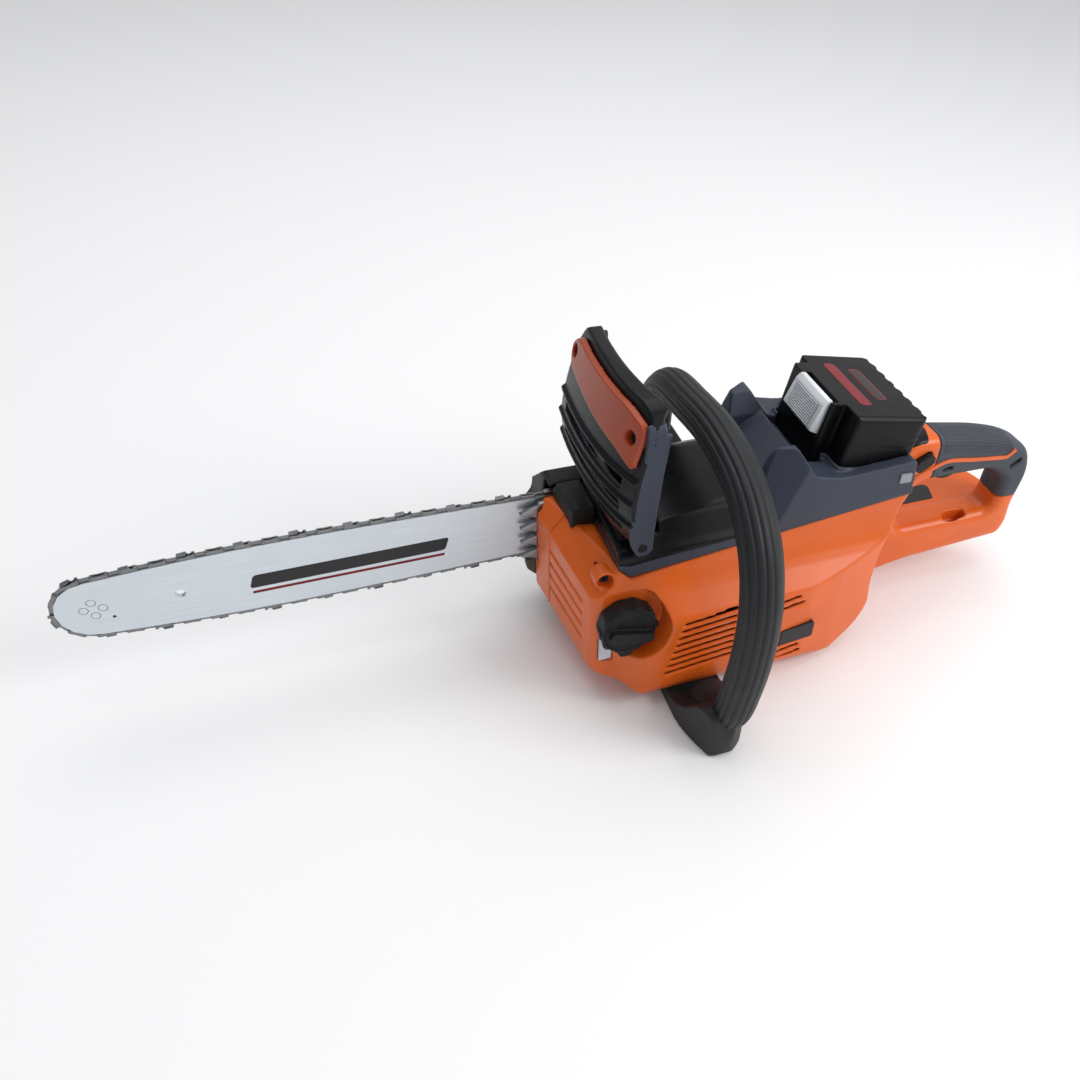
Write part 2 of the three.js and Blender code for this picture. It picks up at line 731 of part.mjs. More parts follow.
function sprocketCover() {
  const [x, y, z] = COVER_ROOF.point;
  const studHoles = STUD_X.map((stud) => rod(stud, BAR_Z, STUD_R + GAP, -10, 60, 12));
  const nutSeats = STUD_X.map((stud) => rod(stud, BAR_Z, 8.5, 6, COVER_RIGHT_Y - 1, 12));
  const hollow = cut(
    prism("y", inset(COVER_SIDE, WALL), PAD_Y - 1, COVER_RIGHT_Y - WALL),
    beyond([x, y, z - WALL - 1], COVER_ROOF.normal),
  );
  const shell = cut(
    prism("y", COVER_SIDE, PAD_Y + GAP, COVER_RIGHT_Y),
    beyond(COVER_ROOF.point, COVER_ROOF.normal),
    hollow,
    box(-30, 28, -10, 8, 36, 141.8),
  );
  const ribs = [80, 106, 132].map((rib) => box(rib, rib + 12, COVER_RIGHT_Y - 1, COVER_RIGHT_Y + 2, 34, 40));
  return cut(join(shell, ...nutSeats, ...ribs), ...studHoles);
}

// ---- Top cover with the battery bay -------------------------------------------------------

// Walls of the bay below the battery, grown outwards by a distance.
function bayTub(grow) {
  return leaned(prism("z", batteryPlan(3 + grow), -BATTERY.depth - 4 - grow, -42));
}

// A piece drawn in the battery's own upright frame, leaned back and moved to its place.
function leaned(geometry) {
  return geometry.rotateY(BATTERY_TILT).translate(BATTERY_TOP.x, 0, BATTERY_TOP.z);
}

function batteryPlan(grow) {
  const { front, rear, left, right } = BATTERY;
  const neck = BATTERY_NECK;
  return [
    [front - grow, neck.left - grow, 3],
    [neck.rear - grow, neck.left - grow, 2],
    [neck.rear - grow, left - grow, 5],
    [rear + grow, left - grow, 5],
    [rear + grow, right + grow, 5],
    [neck.rear - grow, right + grow, 5],
    [neck.rear - grow, neck.right + grow, 2],
    [front - grow, neck.right + grow, 3],
  ];
}

// Upper deck in front of the bay, drawn in cross-section.
const DECK_SECTION = [
  [-98, 100],
  [-98, 141, 2],
  [-94, 144, 3],
  [-80, 162, 4],
  [-2, 162, 6],
  [12, 152, 3],
  [12, 100],
];

const DECK_SIDE = [
  [COVER_FRONT_X + GAP, 131.4],
  [SEAM.x0 + GAP, SEAM.z0 + GAP],
  [SEAM.x1, SEAM.z1 + GAP],
  [SEAM.x1, 170],
  [160, 165, 4],
  [70, 158, 6],
  [60, 145, 2],
  [COVER_FRONT_X + GAP, 145, 3],
];

// Side view of the bay: a pillar at the front, then low walls beside the battery.
const BAY_SIDE = [
  [150, seamZ(150) + GAP],
  [SEAM.x1, SEAM.z1 + GAP],
  [SEAM.x1 - 1, 178, 2],
  [243, 176.5, 6],
  [214, 175, 6],
  [190, 181, 3],
  [176, 203, 2],
  [161, 202, 2],
  [150, 164],
];

const BAY_SECTION = [
  [-98, 120],
  [-98, 150, 2],
  [-95, 188, 2],
  [-90, 204],
  [12, 204],
  [17, 188, 2],
  [18, 120],
];

const BAY_CENTRE_Y = (BATTERY.left + BATTERY.right) / 2;
const LATCH_Y = -41; // middle of the battery's latch button

// The gap between the two pillars: a slope up from the deck, then a drop in front of the battery.
function pillarGap() {
  const slope = [
    [150, 165],
    [185, 187],
    [186, 172],
    [207, 172],
    [207, 230],
    [140, 230],
  ];
  const between = [
    [-74, 160],
    [-12, 160],
    [-12, 185],
    [2, 212],
    [-84, 212],
    [-74, 192],
  ];
  return common(prism("y", slope, -110, 30), prism("x", between, 130, 220));
}

// Facet that cuts off each front corner of the bay, from the deck up to the pillar.
function pillarFacets() {
  const facet = beyond([165, -97, 153], [-0.452, -0.848, 0.276]);
  const mirrored = beyond([165, 2 * BAY_CENTRE_Y + 97, 153], [-0.452, 0.848, 0.276]);
  return [facet, mirrored];
}

// Space above the sprocket cover that the top cover bridges.
const chainTunnel = () => box(0, 320, PAD_Y - 2, 60, 60, 145.6);

// Part of the hood that belongs to the deck, in side view; the rest is the battery bay and its rim.
const DECK_REGION = [
  [20, 140.5],
  [46, 133],
  [150, 141],
  [150, 300],
  [20, 300],
];

// The hood carries the guard's pin in a ridge that stops short of where the guard sweeps back.
const RIDGE_LEFT_Y = -81;

function hood() {
  const deck = common(prism("y", DECK_SIDE, -120, 40), prism("x", DECK_SECTION, 20, 300));
  const deckHollow = common(
    prism("y", inset([[44, 100], ...DECK_SIDE.slice(2)], WALL), -120, 40),
    prism("x", inset(DECK_SECTION, WALL), 20, 172),
    box(0, 200, -120, PAD_Y - 2, 60, 200),
  );
  const bay = cut(
    common(prism("y", BAY_SIDE, -120, 40), prism("x", BAY_SECTION, 140, 290)),
    ...pillarFacets(),
  );
  const ridgeRight = GUARD_RIGHT_Y - ARM - 1;
  const ridge = join(
    box(GUARD_PIVOT.x - 6.5, GUARD_PIVOT.x + 7.5, RIDGE_LEFT_Y, ridgeRight, 142.5, GUARD_PIVOT.z),
    rod(GUARD_PIVOT.x, GUARD_PIVOT.z, 6.5, RIDGE_LEFT_Y, ridgeRight, 14),
  );
  const handleSeat = box(90, 131, 6, 49, 145.6, 150);
  const whole = cut(join(deck, bay, ridge, handleSeat), deckHollow, chainTunnel());
  return cut(
    join(whole, bayTub(0)),
    pillarGap(),
    leaned(prism("z", batteryPlan(0.8), -BATTERY.depth - 0.8, 60)),
    rod(GUARD_PIVOT.x, GUARD_PIVOT.z, 3.4, -140, 60, 14),
    rod(67.5, 154.5, 4, -110, -76, 12),
  );
}

const topCover = () => cut(hood(), prism("y", DECK_REGION, -120, 60));

const deckCover = () => common(hood(), prism("y", inset(DECK_REGION, GAP), -120, 60));

// Black block that closes the body ahead of the deck; it sits on the front facet.
function frontCap() {
  const profile = [
    [11, 120],
    [COVER_FRONT_X - GAP, 120],
    [COVER_FRONT_X - GAP, 150, 3],
    [21, 150, 3],
    [11, 139, 2],
  ];
  const plan = [
    [11, 24],
    [40, 24],
    [40, -44],
    [18, -44],
  ];
  const housingTop = [
    [-20, 60],
    [-20, 134 + GAP],
    [20, 134 + GAP],
    [COVER_FRONT_X + 1, 131 + GAP],
    [COVER_FRONT_X + 1, 60],
  ];
  const [nx, ny, nz] = FRONT_FACET.normal;
  const [x, y, z] = FRONT_FACET.point;
  const belowFacet = beyond([x + GAP * nx, y + GAP * ny, z + GAP * nz], [-nx, -ny, -nz]);
  const block = common(prism("y", profile, -60, 40), prism("z", plan, 100, 170));
  return cut(block, common(belowFacet, prism("y", housingTop, -80, 60)), chainTunnel());
}

// ---- Front hand guard ---------------------------------------------------------------------

// Path across the guard: bowed forwards, and swept back at the operator's left.
const GUARD_SPINE_X = 45;

function guardPath() {
  return new THREE.CubicBezierCurve3(
    new THREE.Vector3(GUARD_SPINE_X - 2, GUARD_RIGHT_Y + 10, 0),
    new THREE.Vector3(GUARD_SPINE_X - 10, -30, 0),
    new THREE.Vector3(GUARD_SPINE_X - 6, -85, 0),
    new THREE.Vector3(GUARD_SPINE_X + 14, GUARD_LEFT_Y - 8, 0),
  );
}

// Sweeps an [x, z] section across the guard; x is measured from the spine.
function acrossGuard(section) {
  const shape = outline(section.map(([x, z, r]) => [-z, x - GUARD_SPINE_X, r]));
  return new THREE.ExtrudeGeometry(shape, { extrudePath: guardPath(), steps: 5, curveSegments: 1 });
}

const GUARD_FACE = [
  [50, 270, 2],
  [45, 256],
  [38, 232],
  [33, 208],
  [32, 190],
  [35, 172],
  [39, 158],
  [43, 159],
  [39, 173],
  [36, 190],
  [37, 208],
  [42, 231],
  [49, 254],
  [61, 264],
  [61, 269, 2],
];

const GUARD_FRONT = [
  [GUARD_RIGHT_Y, 146, 4],
  [GUARD_RIGHT_Y, 250, 6],
  [GUARD_RIGHT_Y - 9, 271, 7],
  [GUARD_LEFT_Y + 14, 268, 10],
  [GUARD_LEFT_Y, 252, 8],
  [GUARD_LEFT_Y, 146, 4],
];

const GUARD_ARM = [
  [57, 262, 2],
  [64, 260, 3],
  [63.5, 242, 3],
  [60, 205, 6],
  [58.5, 174, 6],
  [58, 154, 5],
  [54, 150.5, 3],
  [46.5, 150.5, 3],
  [42.5, 160, 3],
  [43.5, 180, 3],
  [49, 205, 3],
  [54, 240, 3],
];

const GUARD_WEB = [
  [44, 250],
  [58, 250],
  [54, 215],
  [50, 158],
  [40, 158],
  [33, 190],
  [36, 222],
];

// Openings between the louvres, as [lower edge, upper edge].
const LOUVRE_GAPS = [
  [204, 213],
  [186, 194],
  [167, 175],
];

// Louvre across the lower part of the guard.
function louvre(z, x) {
  return acrossGuard([[x + 3, z + 1.5], [x - 3, z - 1.5], [x - 3, z - 4], [x + 3, z - 3]]);
}

function handGuard() {
  const face = join(acrossGuard(GUARD_FACE), louvre(219, 35), louvre(201, 33), louvre(182, 34));
  const sides = [
    prism("y", GUARD_ARM, GUARD_LEFT_Y, GUARD_LEFT_Y + ARM),
    prism("y", GUARD_ARM, GUARD_RIGHT_Y - ARM, GUARD_RIGHT_Y),
    prism("y", GUARD_WEB, GUARD_LEFT_Y + 3, GUARD_LEFT_Y + ARM).translate(9, 0, 0),
    prism("y", GUARD_WEB, GUARD_RIGHT_Y - ARM, GUARD_RIGHT_Y - 3),
  ];
  const trimmed = common(join(face, ...sides), prism("x", GUARD_FRONT, 0, 90));
  const gaps = LOUVRE_GAPS.map(([low, high]) => box(20, 43, -94, 6, low, high));
  return cut(
    trimmed,
    rod(GUARD_PIVOT.x, GUARD_PIVOT.z, 3.4, -140, 60, 14),
    ...gaps,
    ...GUARD_SCREWS.map((screw) => guardBore(screw, 3.8, -2, 30)),
  );
}

const GUARD_SLOPE = Math.atan2(7, 24); // lean of the guard's upper face
const GUARD_SCREWS = [
  { x: 37.5, y: 5, z: 254 },
  { x: 45, y: -95, z: 245 },
];

// A cylinder square to the guard's upper face, between two depths behind the panel's face.
function guardBore({ x, y, z }, radius, from, to) {
  const bore = new THREE.CylinderGeometry(radius, radius, to - from, 12).rotateZ(Math.PI / 2);
  bore.translate((from + to) / 2, 0, 0).rotateY(GUARD_SLOPE);
  return bore.translate(x, y, z);
}

const PANEL_FRONT = [
  [14, 256, 4],
  [6, 265, 6],
  [-84, 263, 10],
  [-103, 257, 6],
  [-106, 226, 5],
  [-84, 233, 10],
  [-40, 238, 20],
  [8, 244, 10],
];

function guardPanel() {
  const slab = acrossGuard([
    [50, 275],
    [36, 222],
    [31, 223],
    [45, 276],
  ]);
  const behind = acrossGuard(GUARD_FACE.map(([x, z]) => [x - GAP, z]));
  const bosses = GUARD_SCREWS.map((screw) => guardBore(screw, 6.5, -1, 2));
  const bores = GUARD_SCREWS.map((screw) => guardBore(screw, 3.8, -8, 30));
  const arms = box(40, 70, GUARD_LEFT_Y - 1, GUARD_LEFT_Y + 4, 140, 280);
  return cut(common(join(slab, ...bosses), prism("x", PANEL_FRONT, 0, 90)), behind, arms, ...bores);
}

const guardPin = () => rod(GUARD_PIVOT.x, GUARD_PIVOT.z, 3, GUARD_LEFT_Y + 1, GUARD_RIGHT_Y - 1, 12);

function guardScrew(screw) {
  return join(guardBore(screw, 2.6, 1, 15), guardBore(screw, 3.3, 0, 2.4));
}

// ---- Front handle -------------------------------------------------------------------------

const HANDLE_ROUTE = [
  [33, 153],
  [32, 181],
  [13, 207],
  [-30, 216.5],
  [-80, 220.5],
  [-125.5, 211],
  [-158, 185.5],
  [-175.4, 150.5],
  [-180.5, 110],
  [-178.5, 70],
  [-172, 37],
  [-155, 20],
  [-136, 16],
];

const handleX = (z) => HANDLE_FOOT_X + HANDLE_LEAN * z;

function frontHandle() {
  const points = HANDLE_ROUTE.map(([y, z]) => new THREE.Vector3(handleX(z), y, z));
  const path = new THREE.CatmullRomCurve3(points, false, "centripetal");
  const section = new THREE.Shape().absellipse(0, 0, HANDLE_R, HANDLE_R - 1, 0, 2 * Math.PI);
  const tube = new THREE.ExtrudeGeometry(section, { extrudePath: path, steps: 26, curveSegments: 5 });
  const foot = prism(
    "x",
    [
      [-186, 16, 6],
      [-184, 0, 6],
      [-4, 0],
      [-4, 10],
      [-90, 12],
      [-128, 12],
      [-140, 16, 8],
    ],
    72,
    129,
  );
  const footPlan = [
    [72, 0],
    [74, -150, 20],
    [86, -186, 18],
    [102, -188, 18],
    [120, -172, 22],
    [124, 0],
  ];
  const hollow = box(78, 118, -118, 20, -5, 8);
  const collar = box(94, 127, 16, 49, 150.4, 158);
  const web = common(foot, prism("z", footPlan, -5, 40));
  return cut(join(tube, web, collar), hollow, box(0, 200, -200, 60, -40, 0));
}

// ---- Battery ------------------------------------------------------------------------------

const LATCH_POCKET = 8; // depth of the pocket behind the battery's front face

function batteryCase() {
  const block = prism("z", batteryPlan(0), -BATTERY.depth, 0);
  const ribs = Array.from({ length: 6 }, (_, i) => {
    const y = BATTERY.left + 10 + i * 13.6;
    return box(BATTERY.rear - 2.4, BATTERY.rear + 4, y, y + 5, -60, 4);
  });
  const pocketEnd = BATTERY.front + LATCH_POCKET;
  const latchPocket = box(BATTERY.front - 6, pocketEnd, LATCH_Y - 22, LATCH_Y + 22, -30, 4);
  const socket = box(-10, 10, LATCH_Y - 19, LATCH_Y + 19, -BATTERY.depth - 2, -BATTERY.depth + 12);
  return cut(block, ...ribs, latchPocket, socket);
}

function batteryLatch() {
  const wedge = [
    [BATTERY.front - 1, 0, 1],
    [BATTERY.front - 4, -4, 1],
    [BATTERY.front - 8, -26, 2],
    [BATTERY.front + 2, -29, 1],
    [BATTERY.front + 3, 0],
  ];
  return cut(prism("y", wedge, LATCH_Y - 21.4, LATCH_Y + 21.4), alongPack(3.8, -1, 4));
}

// A cylinder behind the latch, between two distances behind the front face of the battery.
function alongPack(radius, from, to, sides = 12) {
  const bore = new THREE.CylinderGeometry(radius, radius, to - from, sides).rotateZ(Math.PI / 2);
  return bore.translate(BATTERY.front + (from + to) / 2, LATCH_Y, -14);
}

// The spring sits half inside the latch, so that the latch can slide in over it.
const latchSpring = () => cut(alongPack(3, 2.1, LATCH_POCKET - GAP), alongPack(1.6, 0, LATCH_POCKET));

// ---- Rear handle --------------------------------------------------------------------------

const HANDLE_SIDE = [
  [281, 156, 3],
  [304, 166, 8],
  [326, 165, 8],
  [373, 156, 12],
  [402, 147, 14],
  [425, 134, 20],
  [433, 110, 16],
  [428, 74, 6],
  [430, 52, 8],
  [424, 37, 10],
  [326, 31, 10],
  [290, 24, 16],
  [262, 12, 2],
  [260, 38, 6],
  [258.5, 62, 6],
  [260.5, 98, 6],
  [271.5, 124, 4],
  [281, 146],
];

const HANDLE_OPENING = [
  [304, 108, 12],
  [322, 121, 8],
  [390, 119, 8],
  [407, 105, 10],
  [405, 70, 12],
  [306, 70, 12],
];

// Region covered by the soft grip: the handle from its collar back and down to the rear post.
const GRIP_SIDE = [
  [326, 180],
  [326, 112],
  [386, 112],
  [386, 85],
  [470, 85],
  [470, 180],
];

const GRIP_CORE = 5; // thickness of the soft grip over the handle frame
// The handle's section steps in towards both sides: [inwards, narrower].
const GRIP_STEPS = [
  [0, 6.5],
  [5, 0],
];

// The closed loop of the rear handle, shrunk all round by a distance.
function handleLoop(shrink) {
  const layers = GRIP_STEPS.map(([inwards, narrower]) => {
    const edge = shrink + narrower;
    const [left, right] = [GRIP_LEFT_Y + edge, GRIP_RIGHT_Y - edge];
    const opening = prism("y", inset(HANDLE_OPENING, -shrink - inwards), left - 1, right + 1);
    return cut(prism("y", inset(HANDLE_SIDE, shrink + inwards), left, right), opening);
  });
  return join(...layers);
}

// Side view of the trigger's slot, open to the finger gap below the grip.
const TRIGGER_POCKET = [
  [324, 100],
  [366, 100],
  [366, 138],
  [324, 141],
];

function rearHandle() {
  const gripZone = prism("y", GRIP_SIDE, -100, 20);
  const core = common(handleLoop(GRIP_CORE + GAP), gripZone);
  const frame = cut(handleLoop(0), gripZone);
  const plate = prism(
    "z",
    [
      [262, GRIP_RIGHT_Y - 12],
      [432, GRIP_RIGHT_Y - 12, 4],
      [420, GUARD_PLATE_RIGHT_Y, 14],
      [262, GUARD_PLATE_RIGHT_Y, 4],
    ],
    54,
    69,
  );
  return cut(
    join(core, frame, plate),
    prism("y", TRIGGER_POCKET, -53, -39),
    box(336, 362, -53, -39, 120, 146),
    prism("y", LOCK_OUTLINE, -70, -52),
    prism("y", HOUSING_SIDE, -120, 40),
    bayTub(GAP),
    box(372, 394, -56, -38, 40, 80),
  );
}

function gripCover() {
  const sleeve = common(handleLoop(0), prism("y", inset(GRIP_SIDE, GAP), -100, 20));
  return cut(sleeve, handleLoop(GRIP_CORE), prism("y", TRIGGER_POCKET, -53.4, -38.6));
}

function trigger() {
  const blade = [
    [327, 135, 2],
    [335, 136, 2],
    [360, 130, 2],
    [360, 118, 3],
    [352, 113, 5],
    [340, 115, 5],
    [328, 126, 2],
  ];
  return cut(prism("y", blade, -52, -40), rod(TRIGGER_PIVOT.x, TRIGGER_PIVOT.z, 1.8, -60, -20, 10));
}

const triggerPin = () => rod(TRIGGER_PIVOT.x, TRIGGER_PIVOT.z, 1.5, -52.6, -39.4, 10);

const triggerSwitch = () => join(box(339, 360, -51, -41, 138, 144), box(348, 351, -48, -44, 136, 139));

const LOCK_OUTLINE = [
  [306, 136, 5],
  [322, 146, 5],
  [318, 156, 5],
  [301, 147, 5],
];

const lockOffButton = () => prism("y", inset(LOCK_OUTLINE, GAP), -67, -56);

// ---- Small fittings -----------------------------------------------------------------------

const controlBoard = () => box(190, 246, -29, -27, 24, 84);

// Screw lying along the Y axis, its head towards the operator's left.
function sideScrew({ x, z, headY }) {
  const shank = rod(x, z, 1.9, headY, headY + 16, 10);
  const head = rod(x, z, 3.6, headY, headY + 2.4, 14);
  const socket = rod(x, z, 1.6, headY - 1, headY + 1.4, 6);
  return cut(join(shank, head), socket);
}

// ---- Assembly -----------------------------------------------------------------------------

function buildBar() {
  add("bar_plate_left", barPlate(-1), MATERIAL.barSteel);
  add("bar_core", barCore(), MATERIAL.steel);
  add("bar_plate_right", barPlate(1), MATERIAL.barSteel);
  add("nose_sprocket", noseSprocket(), MATERIAL.darkSteel);
  add("nose_bearing_race", noseHub(), MATERIAL.steel);
  add("saw_chain", sawChain(), MATERIAL.darkSteel);
  STUD_X.forEach((x, i) => {
    add(["bar_stud_front", "bar_stud_rear"][i], barStud(x), MATERIAL.steel);
    add(["bar_nut_front", "bar_nut_rear"][i], barNut(x), MATERIAL.steel);
  });
  add("tension_block", tensionBlock(), MATERIAL.steel);
  add("tension_screw", tensionScrew(), MATERIAL.darkSteel);
  add("bumper_spike", bumperSpike(), MATERIAL.steel);
  add("chain_catcher", chainCatcher(), MATERIAL.black);
}

function buildDrive() {
  add("drive_sprocket", driveSprocket(), MATERIAL.darkSteel);
  add("output_shaft", outputShaft(), MATERIAL.steel);
  add("output_gear", outputGear(), MATERIAL.darkSteel);
  add("output_bearing", ring(SPROCKET_X, BAR_Z, 11, 5.4, -11.8, -5.6), MATERIAL.steel);
  add("motor_stator", motorStator(), MATERIAL.copper);
  add("motor_rotor", motorRotor(), MATERIAL.darkSteel);
  add("motor_shaft", motorShaft(), MATERIAL.steel);
  add("motor_bearing_front", ring(MOTOR_X, MOTOR_Z, 11, 4.4, -38, -32), MATERIAL.steel);
  add("motor_bearing_rear", ring(MOTOR_X, MOTOR_Z, 11, 4.4, -104, -98), MATERIAL.steel);
  add("cooling_fan", coolingFan(), MATERIAL.black);
  add("gear_plate", gearPlate(), MATERIAL.steel);
}

function buildBody() {
  add("left_housing", leftHousing(), MATERIAL.orange);
  add("right_housing", rightHousing(), MATERIAL.orange);
  add("housing_screw", sideScrew(HOUSING_SCREW), MATERIAL.darkSteel);
  add("sprocket_cover", sprocketCover(), MATERIAL.black);
  add("top_cover", topCover(), MATERIAL.slate);
  add("deck_cover", deckCover(), MATERIAL.black);
  add("front_cap", frontCap(), MATERIAL.black);
  add("oil_tank", oilTank(), MATERIAL.tank);
  add("oil_window", oilWindow(), MATERIAL.tank);
  add("oil_cap", oilCap(), MATERIAL.black);
  add("oil_pump", oilPump(), MATERIAL.brass);
  add("control_board", controlBoard(), MATERIAL.board);
}

function buildGuardAndHandles() {
  add("hand_guard", handGuard(), MATERIAL.slate);
  add("guard_panel", guardPanel(), MATERIAL.orange);
  add("guard_screw_right", guardScrew(GUARD_SCREWS[0]), MATERIAL.darkSteel);
  add("guard_screw_left", guardScrew(GUARD_SCREWS[1]), MATERIAL.darkSteel);
  add("guard_pin", guardPin(), MATERIAL.steel);
  add("front_handle", frontHandle(), MATERIAL.rubber);
  add("rear_handle", rearHandle(), MATERIAL.orange);
  add("grip_cover", gripCover(), MATERIAL.rubber);
  add("trigger", trigger(), MATERIAL.black);
  add("trigger_pin", triggerPin(), MATERIAL.steel);
  add("trigger_switch", triggerSwitch(), MATERIAL.black);
  add("lock_off_button", lockOffButton(), MATERIAL.black);
}

// The battery's pieces are drawn upright and leaned back together.
function buildBattery() {
  const pack = new THREE.Group();
  pack.position.set(BATTERY_TOP.x, 0, BATTERY_TOP.z);
  pack.rotation.y = BATTERY_TILT;
  root.add(pack);
  add("battery_case", batteryCase(), MATERIAL.black, pack);
  add("battery_latch", batteryLatch(), MATERIAL.white, pack);
  add("latch_spring", latchSpring(), MATERIAL.steel, pack);
}

// Moves the finished assembly so that its origin is the middle of the floor area it covers.
function standOnFloor() {
  const size = new THREE.Box3().setFromObject(root);
  const middle = size.getCenter(new THREE.Vector3());
  root.position.set(-middle.x, -middle.y, -size.min.z);
}

buildBar();
buildDrive();
buildBody();
buildGuardAndHandles();
buildBattery();
standOnFloor();

export default root;
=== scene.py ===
import json
import math

import bmesh
import bpy
from mathutils import Matrix, Vector


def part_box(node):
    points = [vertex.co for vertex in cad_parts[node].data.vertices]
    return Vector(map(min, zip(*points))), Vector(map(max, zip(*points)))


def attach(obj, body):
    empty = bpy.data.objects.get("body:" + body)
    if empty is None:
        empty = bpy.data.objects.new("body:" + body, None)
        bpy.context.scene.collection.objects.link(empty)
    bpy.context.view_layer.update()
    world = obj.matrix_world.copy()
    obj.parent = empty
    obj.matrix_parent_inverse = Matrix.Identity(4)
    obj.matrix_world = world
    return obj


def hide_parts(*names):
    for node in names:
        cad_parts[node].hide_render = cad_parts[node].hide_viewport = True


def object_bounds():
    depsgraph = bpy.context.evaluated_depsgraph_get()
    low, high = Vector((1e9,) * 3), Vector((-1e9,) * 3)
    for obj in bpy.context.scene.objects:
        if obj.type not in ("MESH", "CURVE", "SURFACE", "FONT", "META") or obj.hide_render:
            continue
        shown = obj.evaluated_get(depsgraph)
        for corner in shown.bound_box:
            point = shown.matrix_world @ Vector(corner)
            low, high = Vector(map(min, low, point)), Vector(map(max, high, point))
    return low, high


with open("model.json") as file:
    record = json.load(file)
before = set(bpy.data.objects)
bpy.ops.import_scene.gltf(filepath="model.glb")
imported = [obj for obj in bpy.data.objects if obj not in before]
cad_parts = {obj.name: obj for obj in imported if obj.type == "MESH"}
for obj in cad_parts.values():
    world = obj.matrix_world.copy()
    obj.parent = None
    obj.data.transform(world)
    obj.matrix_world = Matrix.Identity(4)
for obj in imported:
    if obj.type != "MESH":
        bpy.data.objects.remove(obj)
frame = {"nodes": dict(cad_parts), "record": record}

CAD_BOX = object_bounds()

# ---- Drawing frame ------------------------------------------------------------------------
# Pieces are drawn in millimetres with x = 0 at the body's front wall, y = 0 on the guide bar's
# plane and z = 0 on the floor. The guard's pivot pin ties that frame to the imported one.

PIN_LOW, PIN_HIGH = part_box("guard_pin")
PIN_X, PIN_Z = 50.3, 157.5
PIN_END_Y = -107  # the pin's end on the operator's left
ORIGIN = Vector((
    (PIN_LOW.x + PIN_HIGH.x - PIN_X / 500) / 2,
    PIN_LOW.y - PIN_END_Y / 1000,
    (PIN_LOW.z + PIN_HIGH.z - PIN_Z / 500) / 2,
))


def place(x, y, z):
    """A drawing point in the row frame, in metres."""
    return ORIGIN + Vector((x, y, z)) / 1000


# ---- Materials ----------------------------------------------------------------------------


def node(tree, kind, **inputs):
    made = tree.nodes.new(kind)
    for key, value in inputs.items():
        if key.startswith("set_"):
            setattr(made, key[4:], value)
        else:
            made.inputs[key.replace("_", " ")].default_value = value
    return made


def noise_factor(tree, coords, scale, detail=4.0, stretch=None):
    source = coords
    if stretch:
        mapping = node(tree, "ShaderNodeMapping")
        mapping.inputs["Scale"].default_value = stretch
        tree.links.new(coords, mapping.inputs["Vector"])
        source = mapping.outputs["Vector"]
    made = node(tree, "ShaderNodeTexNoise", Scale=scale, Detail=detail)
    tree.links.new(source, made.inputs["Vector"])
    return made.outputs["Fac"]


def ramp(tree, factor, low, high, start=0.3, end=0.7):
    made = tree.nodes.new("ShaderNodeValToRGB")
    made.color_ramp.elements[0].position = start
    made.color_ramp.elements[1].position = end
    made.color_ramp.elements[0].color = (*low, 1)
    made.color_ramp.elements[1].color = (*high, 1)
    tree.links.new(factor, made.inputs["Fac"])
    return made.outputs["Color"]


def blend_colors(tree, factor, a, b):
    made = node(tree, "ShaderNodeMix", set_data_type="RGBA")
    tree.links.new(factor, made.inputs[0])
    for value, socket in ((a, made.inputs[6]), (b, made.inputs[7])):
        if isinstance(value, tuple):
            socket.default_value = (*value, 1)
        else:
            tree.links.new(value, socket)
    return made.outputs[2]


def scaled(color, amount):
    return tuple(min(1.0, c * amount) for c in color)


def edge_wear_and_highlight(tree, radius):
    """1 on edges and 0 on flat faces, for paler edges that show rubbing and also paint an edge highlight; the
    caller breaks it up with noise.
    """
    soft = node(tree, "ShaderNodeBevel", set_samples=3)
    soft.inputs["Radius"].default_value = radius
    geometry = tree.nodes.new("ShaderNodeNewGeometry")
    dot = node(tree, "ShaderNodeVectorMath", set_operation="DOT_PRODUCT")
    tree.links.new(soft.outputs["Normal"], dot.inputs[0])
    tree.links.new(geometry.outputs["Normal"], dot.inputs[1])
    spread = node(tree, "ShaderNodeMapRange")
    spread.inputs["From Min"].default_value = 0.995
    spread.inputs["From Max"].default_value = 0.90
    tree.links.new(dot.outputs["Value"], spread.inputs["Value"])
    return spread.outputs["Result"], soft.outputs["Normal"]


